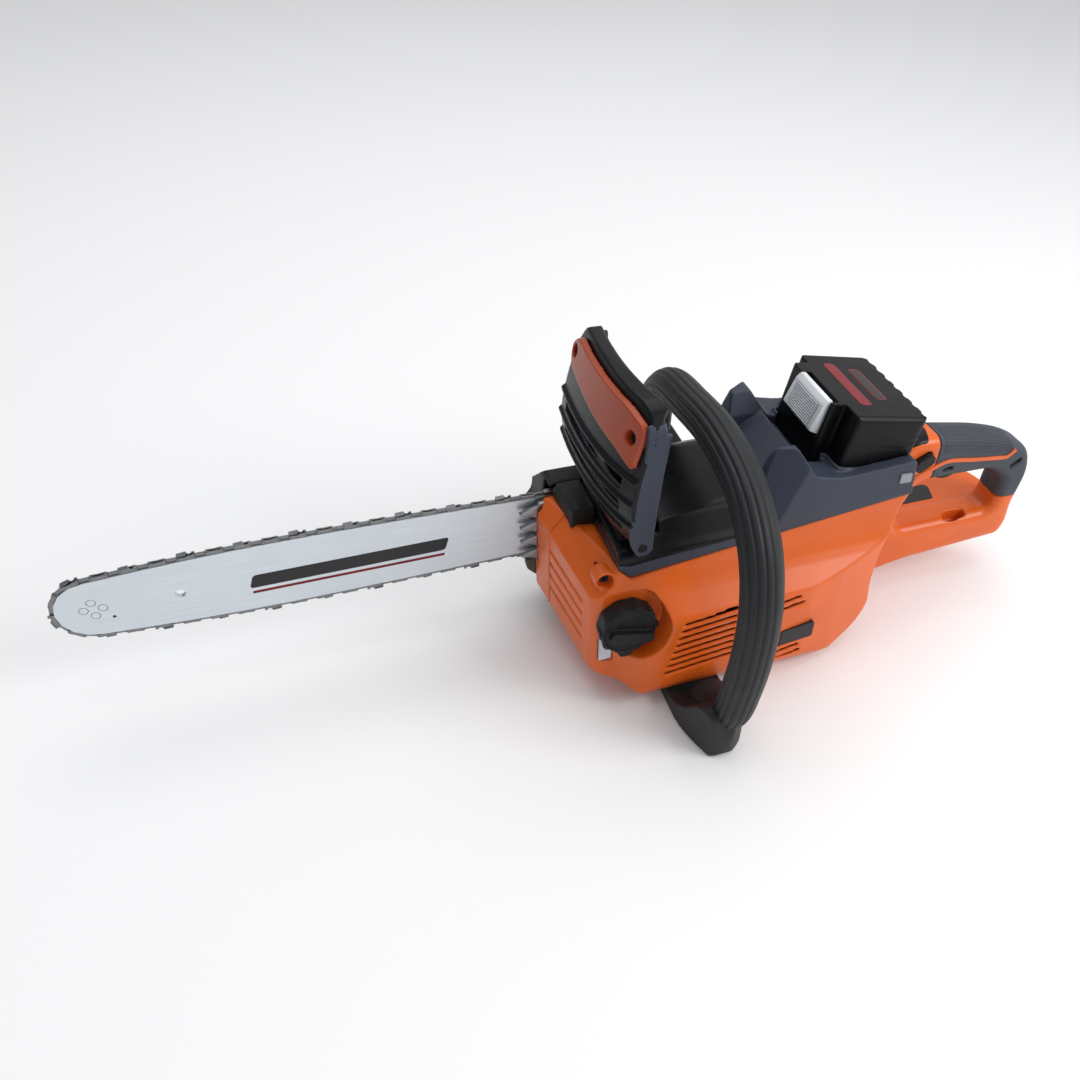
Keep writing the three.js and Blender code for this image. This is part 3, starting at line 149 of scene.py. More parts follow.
def moulding(
    name, color, roughness, grain=0.25, grain_scale=1400.0,
    wear_and_highlight=0.35, mottle=0.06, coat=0.0, edge=0.0012, shine=0.34,
):
    """Moulded plastic or rubber: mottled colour, fine surface grain, paler rubbed edges in patches, which
    also paint an edge highlight.
    """
    material = bpy.data.materials.new(name)
    material.use_nodes = True
    tree = material.node_tree
    shader = tree.nodes["Principled BSDF"]
    coords = tree.nodes.new("ShaderNodeTexCoord").outputs["Object"]
    broad = noise_factor(tree, coords, 22.0)
    tone = ramp(tree, broad, scaled(color, 1 - mottle * 2), scaled(color, 1 + mottle))
    worn_and_lit_edges, normal = edge_wear_and_highlight(tree, edge)
    patches = noise_factor(tree, coords, 160.0, 6.0)
    mask = node(tree, "ShaderNodeMath", set_operation="MULTIPLY")
    tree.links.new(worn_and_lit_edges, mask.inputs[0])
    tree.links.new(ramp(tree, patches, (0, 0, 0), (wear_and_highlight, wear_and_highlight, wear_and_highlight), 0.42, 0.62), mask.inputs[1])
    # Paler edge colour: partly rubbing, partly a painted edge highlight.
    pale = tuple(min(1.0, c * 1.25 + 0.06) for c in color)
    tree.links.new(blend_colors(tree, mask.outputs[0], tone, pale), shader.inputs["Base Color"])
    rough = node(tree, "ShaderNodeMapRange")
    rough.inputs["To Min"].default_value = max(0.05, roughness - 0.07)
    rough.inputs["To Max"].default_value = min(1.0, roughness + 0.1)
    tree.links.new(noise_factor(tree, coords, 75.0, 5.0), rough.inputs["Value"])
    tree.links.new(rough.outputs["Result"], shader.inputs["Roughness"])
    bump = node(tree, "ShaderNodeBump", Strength=grain, Distance=0.0002)
    tree.links.new(noise_factor(tree, coords, grain_scale, 2.0), bump.inputs["Height"])
    tree.links.new(normal, bump.inputs["Normal"])
    tree.links.new(bump.outputs["Normal"], shader.inputs["Normal"])
    shader.inputs["Specular IOR Level"].default_value = shine
    shader.inputs["Coat Weight"].default_value = coat
    shader.inputs["Coat Roughness"].default_value = 0.25
    return material


def metal(name, color, roughness, brushed=(3.0, 160.0, 160.0), strength=0.12, tint=0.08, metallic=1.0):
    """Ground or turned metal: fine lines along one axis, faint smears of oil."""
    material = bpy.data.materials.new(name)
    material.use_nodes = True
    tree = material.node_tree
    shader = tree.nodes["Principled BSDF"]
    coords = tree.nodes.new("ShaderNodeTexCoord").outputs["Object"]
    lines = noise_factor(tree, coords, 9.0, 8.0, brushed)
    smears = noise_factor(tree, coords, 14.0, 3.0)
    base = ramp(tree, lines, scaled(color, 1 - tint), scaled(color, 1 + tint), 0.35, 0.65)
    smear_mask = ramp(tree, smears, (0, 0, 0), (0.3, 0.3, 0.3), 0.45, 0.75)
    tree.links.new(blend_colors(tree, smear_mask, base, scaled(color, 0.8)), shader.inputs["Base Color"])
    rough = node(tree, "ShaderNodeMapRange")
    rough.inputs["To Min"].default_value = max(0.05, roughness - 0.08)
    rough.inputs["To Max"].default_value = roughness + 0.12
    tree.links.new(lines, rough.inputs["Value"])
    tree.links.new(rough.outputs["Result"], shader.inputs["Roughness"])
    soft = node(tree, "ShaderNodeBevel", set_samples=3)
    soft.inputs["Radius"].default_value = 0.0004
    bump = node(tree, "ShaderNodeBump", Strength=strength, Distance=0.0001)
    tree.links.new(lines, bump.inputs["Height"])
    tree.links.new(soft.outputs["Normal"], bump.inputs["Normal"])
    tree.links.new(bump.outputs["Normal"], shader.inputs["Normal"])
    shader.inputs["Metallic"].default_value = metallic
    return material


ORANGE = (0.74, 0.122, 0.010)
SLATE = (0.034, 0.042, 0.064)
LOOK = {
    "orange": moulding("orange_moulding", ORANGE, 0.32, 0.12, 900.0, 0.25, 0.04, 0.15),
    # Orange of the guard panel with painted shade: the same plastic as the housing, darkened for its
    # front-facing side.
    "shaded_orange": moulding("shaded_orange_moulding", (0.34, 0.042, 0.006), 0.34, 0.12, 900.0, 0.2, 0.04, 0.2),
    "slate": moulding("slate_moulding", SLATE, 0.42, 0.25, 1500.0, 0.35),
    "black": moulding("black_moulding", (0.009, 0.009, 0.010), 0.48, 0.3, 1500.0, 0.3, shine=0.25),
    # Gloss black; it also serves as painted shade, since the guard's louvred slate face is drawn in it.
    "black_gloss_and_shade": moulding("gloss_black_and_shade", (0.0045, 0.005, 0.006), 0.27, 0.03, 700.0, 0.1, shine=0.2),
    "catcher": moulding("smoked_moulding", (0.085, 0.078, 0.062), 0.4, 0.2, 1500.0, 0.3),
    "battery": moulding("battery_moulding", (0.004, 0.004, 0.005), 0.36, 0.08, 900.0, 0.15, shine=0.16),
    "rubber": moulding("soft_grip", (0.015, 0.016, 0.018), 0.5, 0.35, 1900.0, 0.25),
    "grip": moulding("slate_grip", (0.055, 0.064, 0.078), 0.6, 0.35, 1900.0, 0.25),
    "white": moulding("white_moulding", (0.72, 0.75, 0.78), 0.4, 0.1, 900.0, 0.1),
    "tank": moulding("tank_moulding", (0.72, 0.76, 0.80), 0.3, 0.1, 700.0, 0.1),
    "red_label": moulding("red_print", (0.20, 0.005, 0.013), 0.35, 0.06, 700.0, 0.1),
    "dark_label": moulding("dark_print", (0.016, 0.016, 0.018), 0.3, 0.06, 700.0, 0.1),
    "pale_label": moulding("pale_print", (0.28, 0.29, 0.31), 0.4, 0.06, 700.0, 0.1),
    "board": moulding("coated_board", (0.02, 0.14, 0.06), 0.4),
    "bar": metal("ground_bar", (0.66, 0.71, 0.75), 0.34, (2.0, 120.0, 120.0), 0.08, 0.05, 0.85),
    "bright": metal("plated_steel", (0.62, 0.64, 0.66), 0.28),
    "claw": metal("worn_steel", (0.30, 0.31, 0.32), 0.3, (40.0, 40.0, 40.0)),
    "chain": metal("oiled_steel", (0.24, 0.245, 0.25), 0.36, (40.0, 40.0, 40.0)),
    "dark_steel": metal("blued_steel", (0.16, 0.165, 0.17), 0.4, (40.0, 40.0, 40.0)),
    "alloy": metal("cast_alloy", (0.55, 0.56, 0.58), 0.5, (60.0, 60.0, 60.0), 0.3),
    "copper": metal("winding_copper", (0.60, 0.26, 0.12), 0.4, (200.0, 3.0, 200.0), 0.4),
    "brass": metal("turned_brass", (0.60, 0.44, 0.18), 0.35, (60.0, 60.0, 60.0)),
}

LOOK_OF_SLOT = {
    "orange_plastic": "orange",
    "slate_plastic": "slate",
    "black_plastic": "black",
    "soft_rubber": "rubber",
    "bar_steel": "bar",
    "bright_steel": "bright",
    "dark_steel": "dark_steel",
    "cast_alloy": "alloy",
    "winding_copper": "copper",
    "tank_plastic": "tank",
    "pump_brass": "brass",
    "latch_white": "white",
    "board_green": "board",
}

# ---- Mesh helpers -------------------------------------------------------------------------


def object_from(name, bm):
    """A Blender object from a bmesh drawn in the drawing frame."""
    mesh = bpy.data.meshes.new(name)
    bmesh.ops.recalc_face_normals(bm, faces=bm.faces)
    bm.to_mesh(mesh)
    bm.free()
    for vertex in mesh.vertices:
        vertex.co = place(*vertex.co)
    made = bpy.data.objects.new(name, mesh)
    bpy.context.scene.collection.objects.link(made)
    return made


def rounded(corners, steps=6):
    """Points of a closed outline through (a, b, radius) corners."""
    points = []
    count = len(corners)
    for i, corner in enumerate(corners):
        here = Vector(corner[:2])
        radius = corner[2] if len(corner) > 2 else 0
        before, after = Vector(corners[i - 1][:2]), Vector(corners[(i + 1) % count][:2])
        reach = min(radius, 0.45 * (here - before).length, 0.45 * (here - after).length)
        if reach <= 0:
            points.append(here)
            continue
        entry = here + (before - here).normalized() * reach
        leave = here + (after - here).normalized() * reach
        for k in range(steps + 1):
            t = k / steps
            points.append(entry * (1 - t) ** 2 + here * (2 * t * (1 - t)) + leave * t * t)
    return points


AXIS_POINT = {
    "x": lambda a, b, c: (c, a, b),
    "y": lambda a, b, c: (a, c, b),
    "z": lambda a, b, c: (a, b, c),
}


def prism_mesh(bm, axis, corners, low, high, steps=6):
    """Adds an outline drawn across one axis and extruded along it."""
    points = rounded(corners, steps)
    put = AXIS_POINT[axis]
    rings = [[bm.verts.new(put(p.x, p.y, level)) for p in points] for level in (low, high)]
    bm.faces.new(rings[0])
    bm.faces.new(rings[1][::-1])
    for i in range(len(points)):
        k = (i + 1) % len(points)
        bm.faces.new((rings[0][i], rings[0][k], rings[1][k], rings[1][i]))


def prism(name, axis, corners, low, high, steps=6):
    bm = bmesh.new()
    prism_mesh(bm, axis, corners, low, high, steps)
    return object_from(name, bm)


def box(name, x0, x1, y0, y1, z0, z1):
    return prism(name, "z", [(x0, y0), (x1, y0), (x1, y1), (x0, y1)], z0, z1)


def turned(name, axis_at, profile, sides=48, axis="y"):
    """A solid of revolution about a line along Y (or Z): profile holds (position along it, radius)."""
    bm = bmesh.new()
    a0, b0 = axis_at
    rings = []
    for level, radius in profile:
        ring = []
        for i in range(sides):
            turn = 2 * math.pi * i / sides
            a, b = a0 + radius * math.cos(turn), b0 + radius * math.sin(turn)
            ring.append(bm.verts.new(AXIS_POINT[axis](a, b, level)))
        rings.append(ring)
    for low, high in zip(rings, rings[1:]):
        for i in range(sides):
            k = (i + 1) % sides
            bm.faces.new((low[i], low[k], high[k], high[i]))
    bm.faces.new(rings[0])
    bm.faces.new(rings[-1][::-1])
    return object_from(name, bm)


def sweep(name, path, section, closed=False):
    """Sweeps a closed section along a path.

    Path items are (centre, across, up) vectors, and the section is a list of (a, b) pairs.
    """
    bm = bmesh.new()
    rings = [
        [bm.verts.new(centre + across * a + up * b) for a, b in section(i)]
        for i, (centre, across, up) in enumerate(path)
    ]
    count = len(rings[0])
    pairs = list(zip(rings, rings[1:])) + ([(rings[-1], rings[0])] if closed else [])
    for low, high in pairs:
        for i in range(count):
            k = (i + 1) % count
            bm.faces.new((low[i], low[k], high[k], high[i]))
    if not closed:
        bm.faces.new(rings[0])
        bm.faces.new(rings[-1][::-1])
    return object_from(name, bm)


def merge(name, pieces):
    """Joins objects into one, meshes overlapping as they are."""
    bm = bmesh.new()
    for piece in pieces:
        bm.from_mesh(piece.data)
        bpy.data.objects.remove(piece)
    mesh = bpy.data.meshes.new(name)
    bm.to_mesh(mesh)
    bm.free()
    made = bpy.data.objects.new(name, mesh)
    bpy.context.scene.collection.objects.link(made)
    return made


def settle(piece):
    """Applies a piece's modifiers to its mesh."""
    graph = bpy.context.evaluated_depsgraph_get()
    mesh = bpy.data.meshes.new_from_object(piece.evaluated_get(graph))
    piece.modifiers.clear()
    piece.data = mesh
    return piece


def combine(base, operation, *tools):
    for tool in tools:
        change = base.modifiers.new("combine", "BOOLEAN")
        change.operation = operation
        change.solver = "EXACT"
        change.object = tool
        settle(base)
        bpy.data.objects.remove(tool)
    return base


def cut(base, *tools):
    return combine(base, "DIFFERENCE", *tools)


def join(base, *tools):
    return combine(base, "UNION", *tools)


def keep(base, *tools):
    return combine(base, "INTERSECT", *tools)


def from_node(name, source):
    """A new piece that starts from a CAD node's shape, with its flat faces whole again."""
    bm = bmesh.new()
    bm.from_mesh(frame["nodes"][source].data)
    bmesh.ops.remove_doubles(bm, verts=bm.verts, dist=2e-6)
    bmesh.ops.dissolve_limit(bm, angle_limit=math.radians(0.5), verts=bm.verts, edges=bm.edges)
    mesh = bpy.data.meshes.new(name)
    bm.to_mesh(mesh)
    bm.free()
    made = bpy.data.objects.new(name, mesh)
    bpy.context.scene.collection.objects.link(made)
    return made


def mould(piece, grid=1.0, passes=6, share=0.35):
    """Rounds every edge of a piece as a mould does: resampled on a grid, relaxed and thinned out."""
    resample = piece.modifiers.new("resample", "REMESH")
    resample.mode = "VOXEL"
    resample.voxel_size = grid / 1000
    relax = piece.modifiers.new("relax", "SMOOTH")
    relax.factor = 0.5
    relax.iterations = passes
    if share < 1:
        thin = piece.modifiers.new("thin", "DECIMATE")
        thin.ratio = share
    return settle(piece)


def bevel(piece, width, segments=3, angle=30):
    change = piece.modifiers.new("bevel", "BEVEL")
    change.width = width / 1000
    change.segments = segments
    change.limit_method = "ANGLE"
    change.angle_limit = math.radians(angle)
    change.use_clamp_overlap = True
    return settle(piece)


def shade(piece, angle=40):
    """Smooth shading that keeps edges sharper than the angle."""
    bm = bmesh.new()
    bm.from_mesh(piece.data)
    limit = math.radians(angle)
    for face in bm.faces:
        face.smooth = True
    for edge in bm.edges:
        edge.smooth = len(edge.link_faces) == 2 and edge.calc_face_angle(0) < limit
    bm.to_mesh(piece.data)
    bm.free()


def show(piece, body, look, *replaced, angle=40):
    """Gives a finished piece its shading, material and body, and hides any CAD nodes it stands for."""
    shade(piece, angle)
    piece.data.materials.clear()
    piece.data.materials.append(LOOK[look])
    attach(piece, body)
    if replaced:
        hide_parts(*replaced)
    return piece


# ---- Guide bar and chain ------------------------------------------------------------------

BAR_Z = 105
NOSE = (-322, 105)
PITCH = 9.525


def bezier(a, b, c, steps):
    shares = (k / steps for k in range(1, steps + 1))
    return [a * (1 - t) ** 2 + b * (2 * t * (1 - t)) + c * t * t for t in shares]


def rail(height):
    """Closed (x, z) line at a height above the bar's rail, round the nose and the drive sprocket."""
    top = []
    wrap = 16.6 + height
    root, belly, nose = 27.3 + height, 30.3 + height, 25 + height
    reach = math.hypot(45, root)
    tangent = math.atan2(45, root) + math.asin(wrap / reach)
    for k in range(25):
        turn = tangent * k / 24
        top.append(Vector((105 + wrap * math.cos(turn), wrap * math.sin(turn))))
    for x in range(60, -10, -5):
        top.append(Vector((x, root)))
    top.append(Vector((-10, root)))
    top += bezier(Vector((-10, root)), Vector((-110, belly)), Vector((-190, belly)), 30)
    top += bezier(Vector((-190, belly)), Vector((-252, belly)), Vector((-322, nose)), 24)
    for k in range(1, 25):
        turn = math.pi / 2 * (1 + k / 24)
        top.append(Vector((NOSE[0] + nose * math.cos(turn), nose * math.sin(turn))))
    bottom = [Vector((p.x, -p.y)) for p in top[1:-1]][::-1]
    return [Vector((p.x, p.y + BAR_Z)) for p in top + bottom]


def spaced(points, count):
    """Points at equal distances along a closed line."""
    closed = points + points[:1]
    lengths = [(b - a).length for a, b in zip(closed, closed[1:])]
    total = sum(lengths)
    out, index, start = [], 0, 0.0
    for i in range(count):
        want = total * i / count
        while start + lengths[index] < want:
            start += lengths[index]
            index += 1
        share = (want - start) / lengths[index]
        out.append(closed[index].lerp(closed[index + 1], share))
    return out


def capsule(half, radius, waist):
    """Outline of a chain link: two round ends and a narrower middle."""
    points = []
    for k in range(9):
        turn = -math.pi / 2 + math.pi * k / 8
        points.append((half + radius * math.cos(turn), radius * math.sin(turn)))
    points.append((0, waist))
    for k in range(9):
        turn = math.pi / 2 + math.pi * k / 8
        points.append((-half + radius * math.cos(turn), radius * math.sin(turn)))
    points.append((0, -waist))
    return points


TIE = capsule(PITCH / 2, 1.55, 1.2)
DRIVER = [(-6.2, 0), (-4.9, 1.4), (4.9, 1.4), (6.2, 0), (4.2, -1.8), (2.2, -6.0), (-0.6, -5.8), (-3.4, -2.4)]
CUTTER_PLATE = [
    (-6.3, 0), (-6.2, 2.3), (-4.8, 2.7), (-3.6, 1.3), (-2.0, 1.1), (-0.6, 2.9),
    (6.0, 2.4), (6.3, 0.4), (5.4, -1.5), (0, -1.1), (-5.4, -1.5),
]


def add_plate(bm, frame_at, outline, low, high):
    """A flat plate in a link's own frame: outline along the chain and outwards, thickness across it."""
    origin, along, out = frame_at
    rings = []
    for level in (low, high):
        ring = []
        for a, b in outline:
            p = origin + along * a + out * b
            ring.append(bm.verts.new((p.x, level, p.y)))
        rings.append(ring)
    bm.faces.new(rings[0])
    bm.faces.new(rings[1][::-1])
    for i in range(len(outline)):
        k = (i + 1) % len(outline)
        bm.faces.new((rings[0][i], rings[0][k], rings[1][k], rings[1][i]))


def add_rivet(bm, at, reach):
    turns = (math.pi * 2 * k / 12 for k in range(12))
    head = [(at.x + 0.95 * math.cos(a), at.y + 0.95 * math.sin(a)) for a in turns]
    low = [bm.verts.new((x, -reach, z)) for x, z in head]
    high = [bm.verts.new((x, reach, z)) for x, z in head]
    bm.faces.new(low)
    bm.faces.new(high[::-1])
    for i in range(12):
        k = (i + 1) % 12
        bm.faces.new((low[i], low[k], high[k], high[i]))


def chain():
    line = rail(1.6)
    length = sum((b - a).length for a, b in zip(line, line[1:] + line[:1]))
    count = 4 * round(length / PITCH / 4)
    rivets = spaced(line, count)
    bm = bmesh.new()
    for i, here in enumerate(rivets):
        there = rivets[(i + 1) % count]
        along = (there - here).normalized()
        out = Vector((along.y, -along.x))
        middle = (here + there) / 2
        if out.dot(middle - Vector((max(-322, min(105, middle.x)), BAR_Z))) < 0:
            out = -out
        frame_at = (middle, along, out)
        add_rivet(bm, here, 2.15)
        if i % 2:
            add_plate(bm, frame_at, DRIVER, -0.62, 0.62)
            continue
        cutter_side = {0: 1, 4: -1}.get(i % 8, 0)
        for side in (-1, 1):
            near, far = sorted((side * 0.75, side * 1.85))
            if side == cutter_side:
                add_plate(bm, frame_at, CUTTER_PLATE, near, far)
                plate = [(-0.6, 2.4), (-0.6, 3.0), (6.0, 2.5), (6.0, 1.9)]
                low, high = sorted((side * 2.6, -side * 1.4))
                add_plate(bm, frame_at, plate, low, high)
            else:
                add_plate(bm, frame_at, TIE, near, far)
    return object_from("chain_links", bm)


show(chain(), "housing", "chain", "saw_chain", angle=35)


def print_on_bar(name, corners, look):
    """A thin printed shape on the bar's left face."""
    return show(prism(name, "y", corners, -2.17, -2.04, 10), "bar", look)


print_on_bar("bar_stripe", [(-218, 96, 3), (-72, 97, 3), (-68, 109, 3), (-214, 108, 3)], "dark_label")
print_on_bar("bar_line", [(-217, 90.5, 1), (-73, 91.5, 1), (-72.4, 93.9, 1), (-216.4, 92.9, 1)], "red_label")


# ---- Bumper, catcher and small metal parts ------------------------------------------------


def spikes():
    """Four forward-pointing claws on a plate, each claw curved upwards."""
    pieces = [prism("claw_plate", "y", [(2, 66, 2), (10, 66, 2), (10, 131, 2), (2, 131, 2)], -8.4, -4.8)]
    for i in range(4):
        z = 122 - i * 14.5
        claw = [
            (4, z + 6.2, 2), (-4, z + 4.6, 4), (-13, z + 0.8, 0.8),
            (-12.4, z - 0.4, 0.6), (-6, z - 1.6, 3), (4, z - 6.4, 2),
        ]
        pieces.append(prism("claw", "y", claw, -8.4, -4.8))
    body = join(pieces[0], *pieces[1:])
    body.name = "bumper_claws"
    return bevel(body, 0.5, 2)


show(spikes(), "housing", "claw", "bumper_spike")


# ---- Moulded body -------------------------------------------------------------------------


def side_cover():
    """The cover over the sprocket, stiffened by slanted ribs on its outer face."""
    ribs = []
    for k in range(4):
        x = 92 + 15 * k
        outline = [(x, 45, 2), (x + 5, 45, 2), (x + 20, 112, 2), (x + 15, 112, 2)]
        ribs.append(prism("rib", "y", outline, 36, 40.4))
    return mould(merge("side_cover", [from_node("cover_shell", "sprocket_cover"), *ribs]), 1.1, 5, 0.3)


left_shell = mould(from_node("left_shell", "left_housing"), 1.0, 8, 0.3)
show(left_shell, "housing", "orange", "left_housing", angle=60)
right_shell = mould(from_node("right_shell", "right_housing"), 1.2, 5, 0.25)
show(right_shell, "housing", "orange", "right_housing", angle=60)
show(side_cover(), "housing", "black", "sprocket_cover", angle=60)
show(mould(from_node("hood", "top_cover"), 0.9, 5, 0.35), "housing", "slate", "top_cover", angle=60)
show(mould(from_node("deck_shell", "deck_cover"), 0.8, 5, 0.35), "housing", "black_gloss_and_shade", "deck_cover", angle=60)
cap_top = prism("cap_top", "x", [(-50, 151.5), (30, 141), (30, 170), (-50, 170)], 0, 60)
cap_block = mould(cut(from_node("cap_block", "front_cap"), cap_top), 0.8, 6, 0.4)
show(cap_block, "housing", "black", "front_cap", angle=60)
catcher = mould(from_node("catcher", "chain_catcher"), 0.6, 4, 0.4)
show(catcher, "housing", "catcher", "chain_catcher", angle=60)


def filler_cap():
    """The screw cap: lobed rim, two raised rings, the turning bar and the tether's lug."""
    rims = [
        cut(
            turned("rim", CAP_AT, [(level, outer), (-110, outer)]),
            turned("bore", CAP_AT, [(level - 2, outer - 1.6), (-108, outer - 1.6)]),
        )
        for level, outer in ((-117.4, 21.4), (-117.2, 14.0))
    ]
    return mould(merge("ringed_cap", [from_node("cap_body", "oil_cap"), *rims]), 0.55, 4, 0.4)


CAP_AT = (41, 86)
show(filler_cap(), "filler_cap", "black", "oil_cap", angle=60)

# ---- Front hand guard ---------------------------------------------------------------------

GUARD_SPINE_X = 45


def guard_path(steps):
    """Points across the guard with their across and up directions."""
    a = Vector((GUARD_SPINE_X - 2, 30, 0))
    b = Vector((GUARD_SPINE_X - 10, -30, 0))
    c = Vector((GUARD_SPINE_X - 6, -85, 0))
    d = Vector((GUARD_SPINE_X + 14, -116, 0))
    out = []
    for k in range(steps + 1):
        t = k / steps
        here = a * (1 - t) ** 3 + b * 3 * t * (1 - t) ** 2 + c * 3 * t * t * (1 - t) + d * t ** 3
        tangent = ((b - a) * (1 - t) ** 2 + (c - b) * 2 * t * (1 - t) + (d - c) * t * t).normalized()
        across = Vector((-tangent.y, tangent.x, 0))
        out.append((here, across, Vector((0, 0, 1))))
    return out


def across_guard(name, section, steps=30, round_steps=4):
    points = rounded(section, round_steps)
    return sweep(name, guard_path(steps), lambda i: [(p.x - GUARD_SPINE_X, p.y) for p in points])


GUARD_FACE = [
    (50, 270, 2), (45, 256), (38, 232, 20), (33, 208, 20), (32, 190, 12), (35, 172, 10), (39, 158),
    (43, 159), (39, 173, 10), (36, 190, 12), (37, 208, 20), (42, 231, 20), (49, 254), (61, 264), (61, 269, 2),
]
GUARD_FRONT = [(20, 146, 4), (20, 250, 6), (11, 271, 7), (-94, 268, 10), (-108, 252, 8), (-108, 146, 4)]
GUARD_ARM = [
    (50, 267, 4), (63, 264, 5), (63.5, 242, 8), (60, 205, 20), (58.5, 174, 12), (58, 154, 5), (54, 150.5, 3),
    (46.5, 150.5, 3), (42, 160, 3), (40.5, 180, 12), (43, 205, 20), (48, 240, 8),
]
LOUVRE_GAPS = [(204, 213), (186, 194), (167, 175)]
GUARD_WEB = [(44, 250), (58, 250), (54, 215), (50, 158), (40, 158), (33, 190), (36, 222)]
GUARD_SCREWS = [(37.5, 5, 254), (45, -95, 245)]
GUARD_SLOPE = math.atan2(7, 24)


def slanted_rod(name, at, radius, low, high, sides=32):
    """A cylinder square to the guard's upper face."""
    piece = turned(name, (0, 0), [(low, radius), (high, radius)], sides, "x")
    centre = place(*at)
    turn = Matrix.Rotation(GUARD_SLOPE, 4, "Y")
    piece.data.transform(Matrix.Translation(centre) @ turn @ Matrix.Translation(-ORIGIN))
    return piece


def louvre(z, x):
    blade = [(x + 3, z + 1.5, 1), (x - 3, z - 1.5, 1), (x - 3, z - 4, 1), (x + 3, z - 3, 1)]
    return across_guard("louvre", blade, 30, 2)


def guard_face():
    """The bowed face with open gaps between its louvres."""
    face = across_guard("guard_face", GUARD_FACE)
    gaps = [box("gap", 20, 43, -94, 6, low, high) for low, high in LOUVRE_GAPS]
    bores = [slanted_rod("bore", at, 3.8, -2, 30) for at in GUARD_SCREWS]
    bands = [
        keep(band, prism("front", "x", GUARD_FRONT, 0, 90))
        for band in (face, louvre(219, 35), louvre(201, 33), louvre(182, 34))
    ]
    bands[0] = cut(bands[0], *gaps, *bores)
    return mould(merge("guard_louvres", bands), 0.8, 4, 0.5)


def guard_arms():
    arms = [
        prism("arm", "y", GUARD_ARM, -108.4, -102),
        prism("arm", "y", GUARD_ARM, 14, 20),
        prism("web", "y", [(x + 9, z) for x, z in GUARD_WEB], -105, -102),
        prism("web", "y", GUARD_WEB, 14, 17),
    ]
    arms = [cut(arm, turned("pivot", (PIN_X, PIN_Z), [(-140, 3.4), (60, 3.4)])) for arm in arms]
    arms = [keep(arm, prism("front", "x", GUARD_FRONT, 0, 90)) for arm in arms]
    return mould(merge("guard_frame", arms), 0.8, 5, 0.5)


def guard_panel():
    slab = across_guard("panel", [(50, 275), (36, 222), (31, 223), (45, 276)])
    outline = [
        (14, 256, 4), (6, 265, 6), (-84, 263, 10), (-103, 257, 6),
        (-106, 226, 5), (-84, 233, 10), (-40, 238, 20), (8, 244, 10),
    ]
    body = keep(slab, prism("front", "x", outline, 0, 90, 10))
    behind = across_guard("behind", [(p[0] - 0.4, p[1]) for p in GUARD_FACE])
    body = cut(body, behind, box("arms", 40, 70, -109, -104, 140, 280))
    bosses = [slanted_rod("boss", at, 7.4, -1.4, 2.2) for at in GUARD_SCREWS]
    body = join(body, *bosses)
    body = cut(body, *[slanted_rod("bore", at, 5.0, -8, 30) for at in GUARD_SCREWS])
    body.name = "guard_face_panel"
    return mould(body, 0.6, 4, 0.5)


show(guard_arms(), "guard", "slate", "hand_guard", angle=60)
# The louvred face is slate plastic; the gloss black here is painted shade on its front-facing side.
show(guard_face(), "guard", "black_gloss_and_shade", angle=60)
# The guard panel is housing orange with painted shade, drawn in the darker orange look.
show(guard_panel(), "guard", "shaded_orange", "guard_panel", angle=60)

# ---- Front handle -------------------------------------------------------------------------

HANDLE_ROUTE = [
    (33, 153), (32, 181), (13, 207), (-30, 216.5), (-80, 220.5),
    (-125.5, 211), (-158, 185.5), (-175.4, 150.5),
    (-180.5, 110), (-178.5, 70), (-172, 37), (-155, 20), (-136, 16),
]


def smooth_line(points, per_span):
    """A centripetal spline through points."""
    ends = [points[0] * 2 - points[1], *points, points[-1] * 2 - points[-2]]
    out = []
    for i in range(1, len(ends) - 2):
        p0, p1, p2, p3 = ends[i - 1 : i + 3]
        t1 = (p1 - p0).length ** 0.5
        t2 = t1 + (p2 - p1).length ** 0.5
        t3 = t2 + (p3 - p2).length ** 0.5
        for k in range(per_span + (i == len(ends) - 3)):
            t = t1 + (t2 - t1) * k / per_span
            a1 = p0 * ((t1 - t) / t1) + p1 * (t / t1)
            a2 = p1 * ((t2 - t) / (t2 - t1)) + p2 * ((t - t1) / (t2 - t1))
            a3 = p2 * ((t3 - t) / (t3 - t2)) + p3 * ((t - t2) / (t3 - t2))
            b1 = a1 * ((t2 - t) / t2) + a2 * (t / t2)
            b2 = a2 * ((t3 - t) / (t3 - t1)) + a3 * ((t - t1) / (t3 - t1))
            out.append(b1 * ((t2 - t) / (t2 - t1)) + b2 * ((t - t1) / (t2 - t1)))
    return out


def tube_frames(points, fixed):
    """(centre, across, up) along a line in a plane whose normal is fixed."""
    out = []
    for i, here in enumerate(points):
        ahead = points[min(i + 1, len(points) - 1)]
        behind = points[max(i - 1, 0)]
        tangent = (ahead - behind).normalized()
        outward = tangent.cross(fixed).normalized()
        out.append((here, fixed, outward))
    return out


RIB_ANGLES = [math.radians(a) for a in (80, 103, 126, 149, 172, 195)]


def ribbed_section(width, height, depth, points=120):
    """An oval with lengthwise grooves on its outer side."""
    out = []
    for k in range(points):
        turn = 2 * math.pi * k / points
        groove = sum(math.exp(-(((turn - a) / 0.06) ** 2)) for a in RIB_ANGLES)
        shrink = 1 - depth * min(groove, 1) / width
        out.append((width * math.cos(turn) * shrink, height * math.sin(turn) * shrink))
    return out


def front_handle():
    centres = [Vector((101.5 + 0.06 * z, y, z)) for y, z in HANDLE_ROUTE]
    line = smooth_line(centres, 14)
    plane = Vector((1, 0, -0.06)).normalized()
    count = len(line)

    def section(i):
        fade = min(1.0, i / 14, (count - 1 - i) / 30)
        return ribbed_section(15.2, 14.2, 1.1 * max(0.0, fade))

    tube = sweep("tube", tube_frames(line, plane), section)
    tube.name = "front_handle_tube"
    return tube


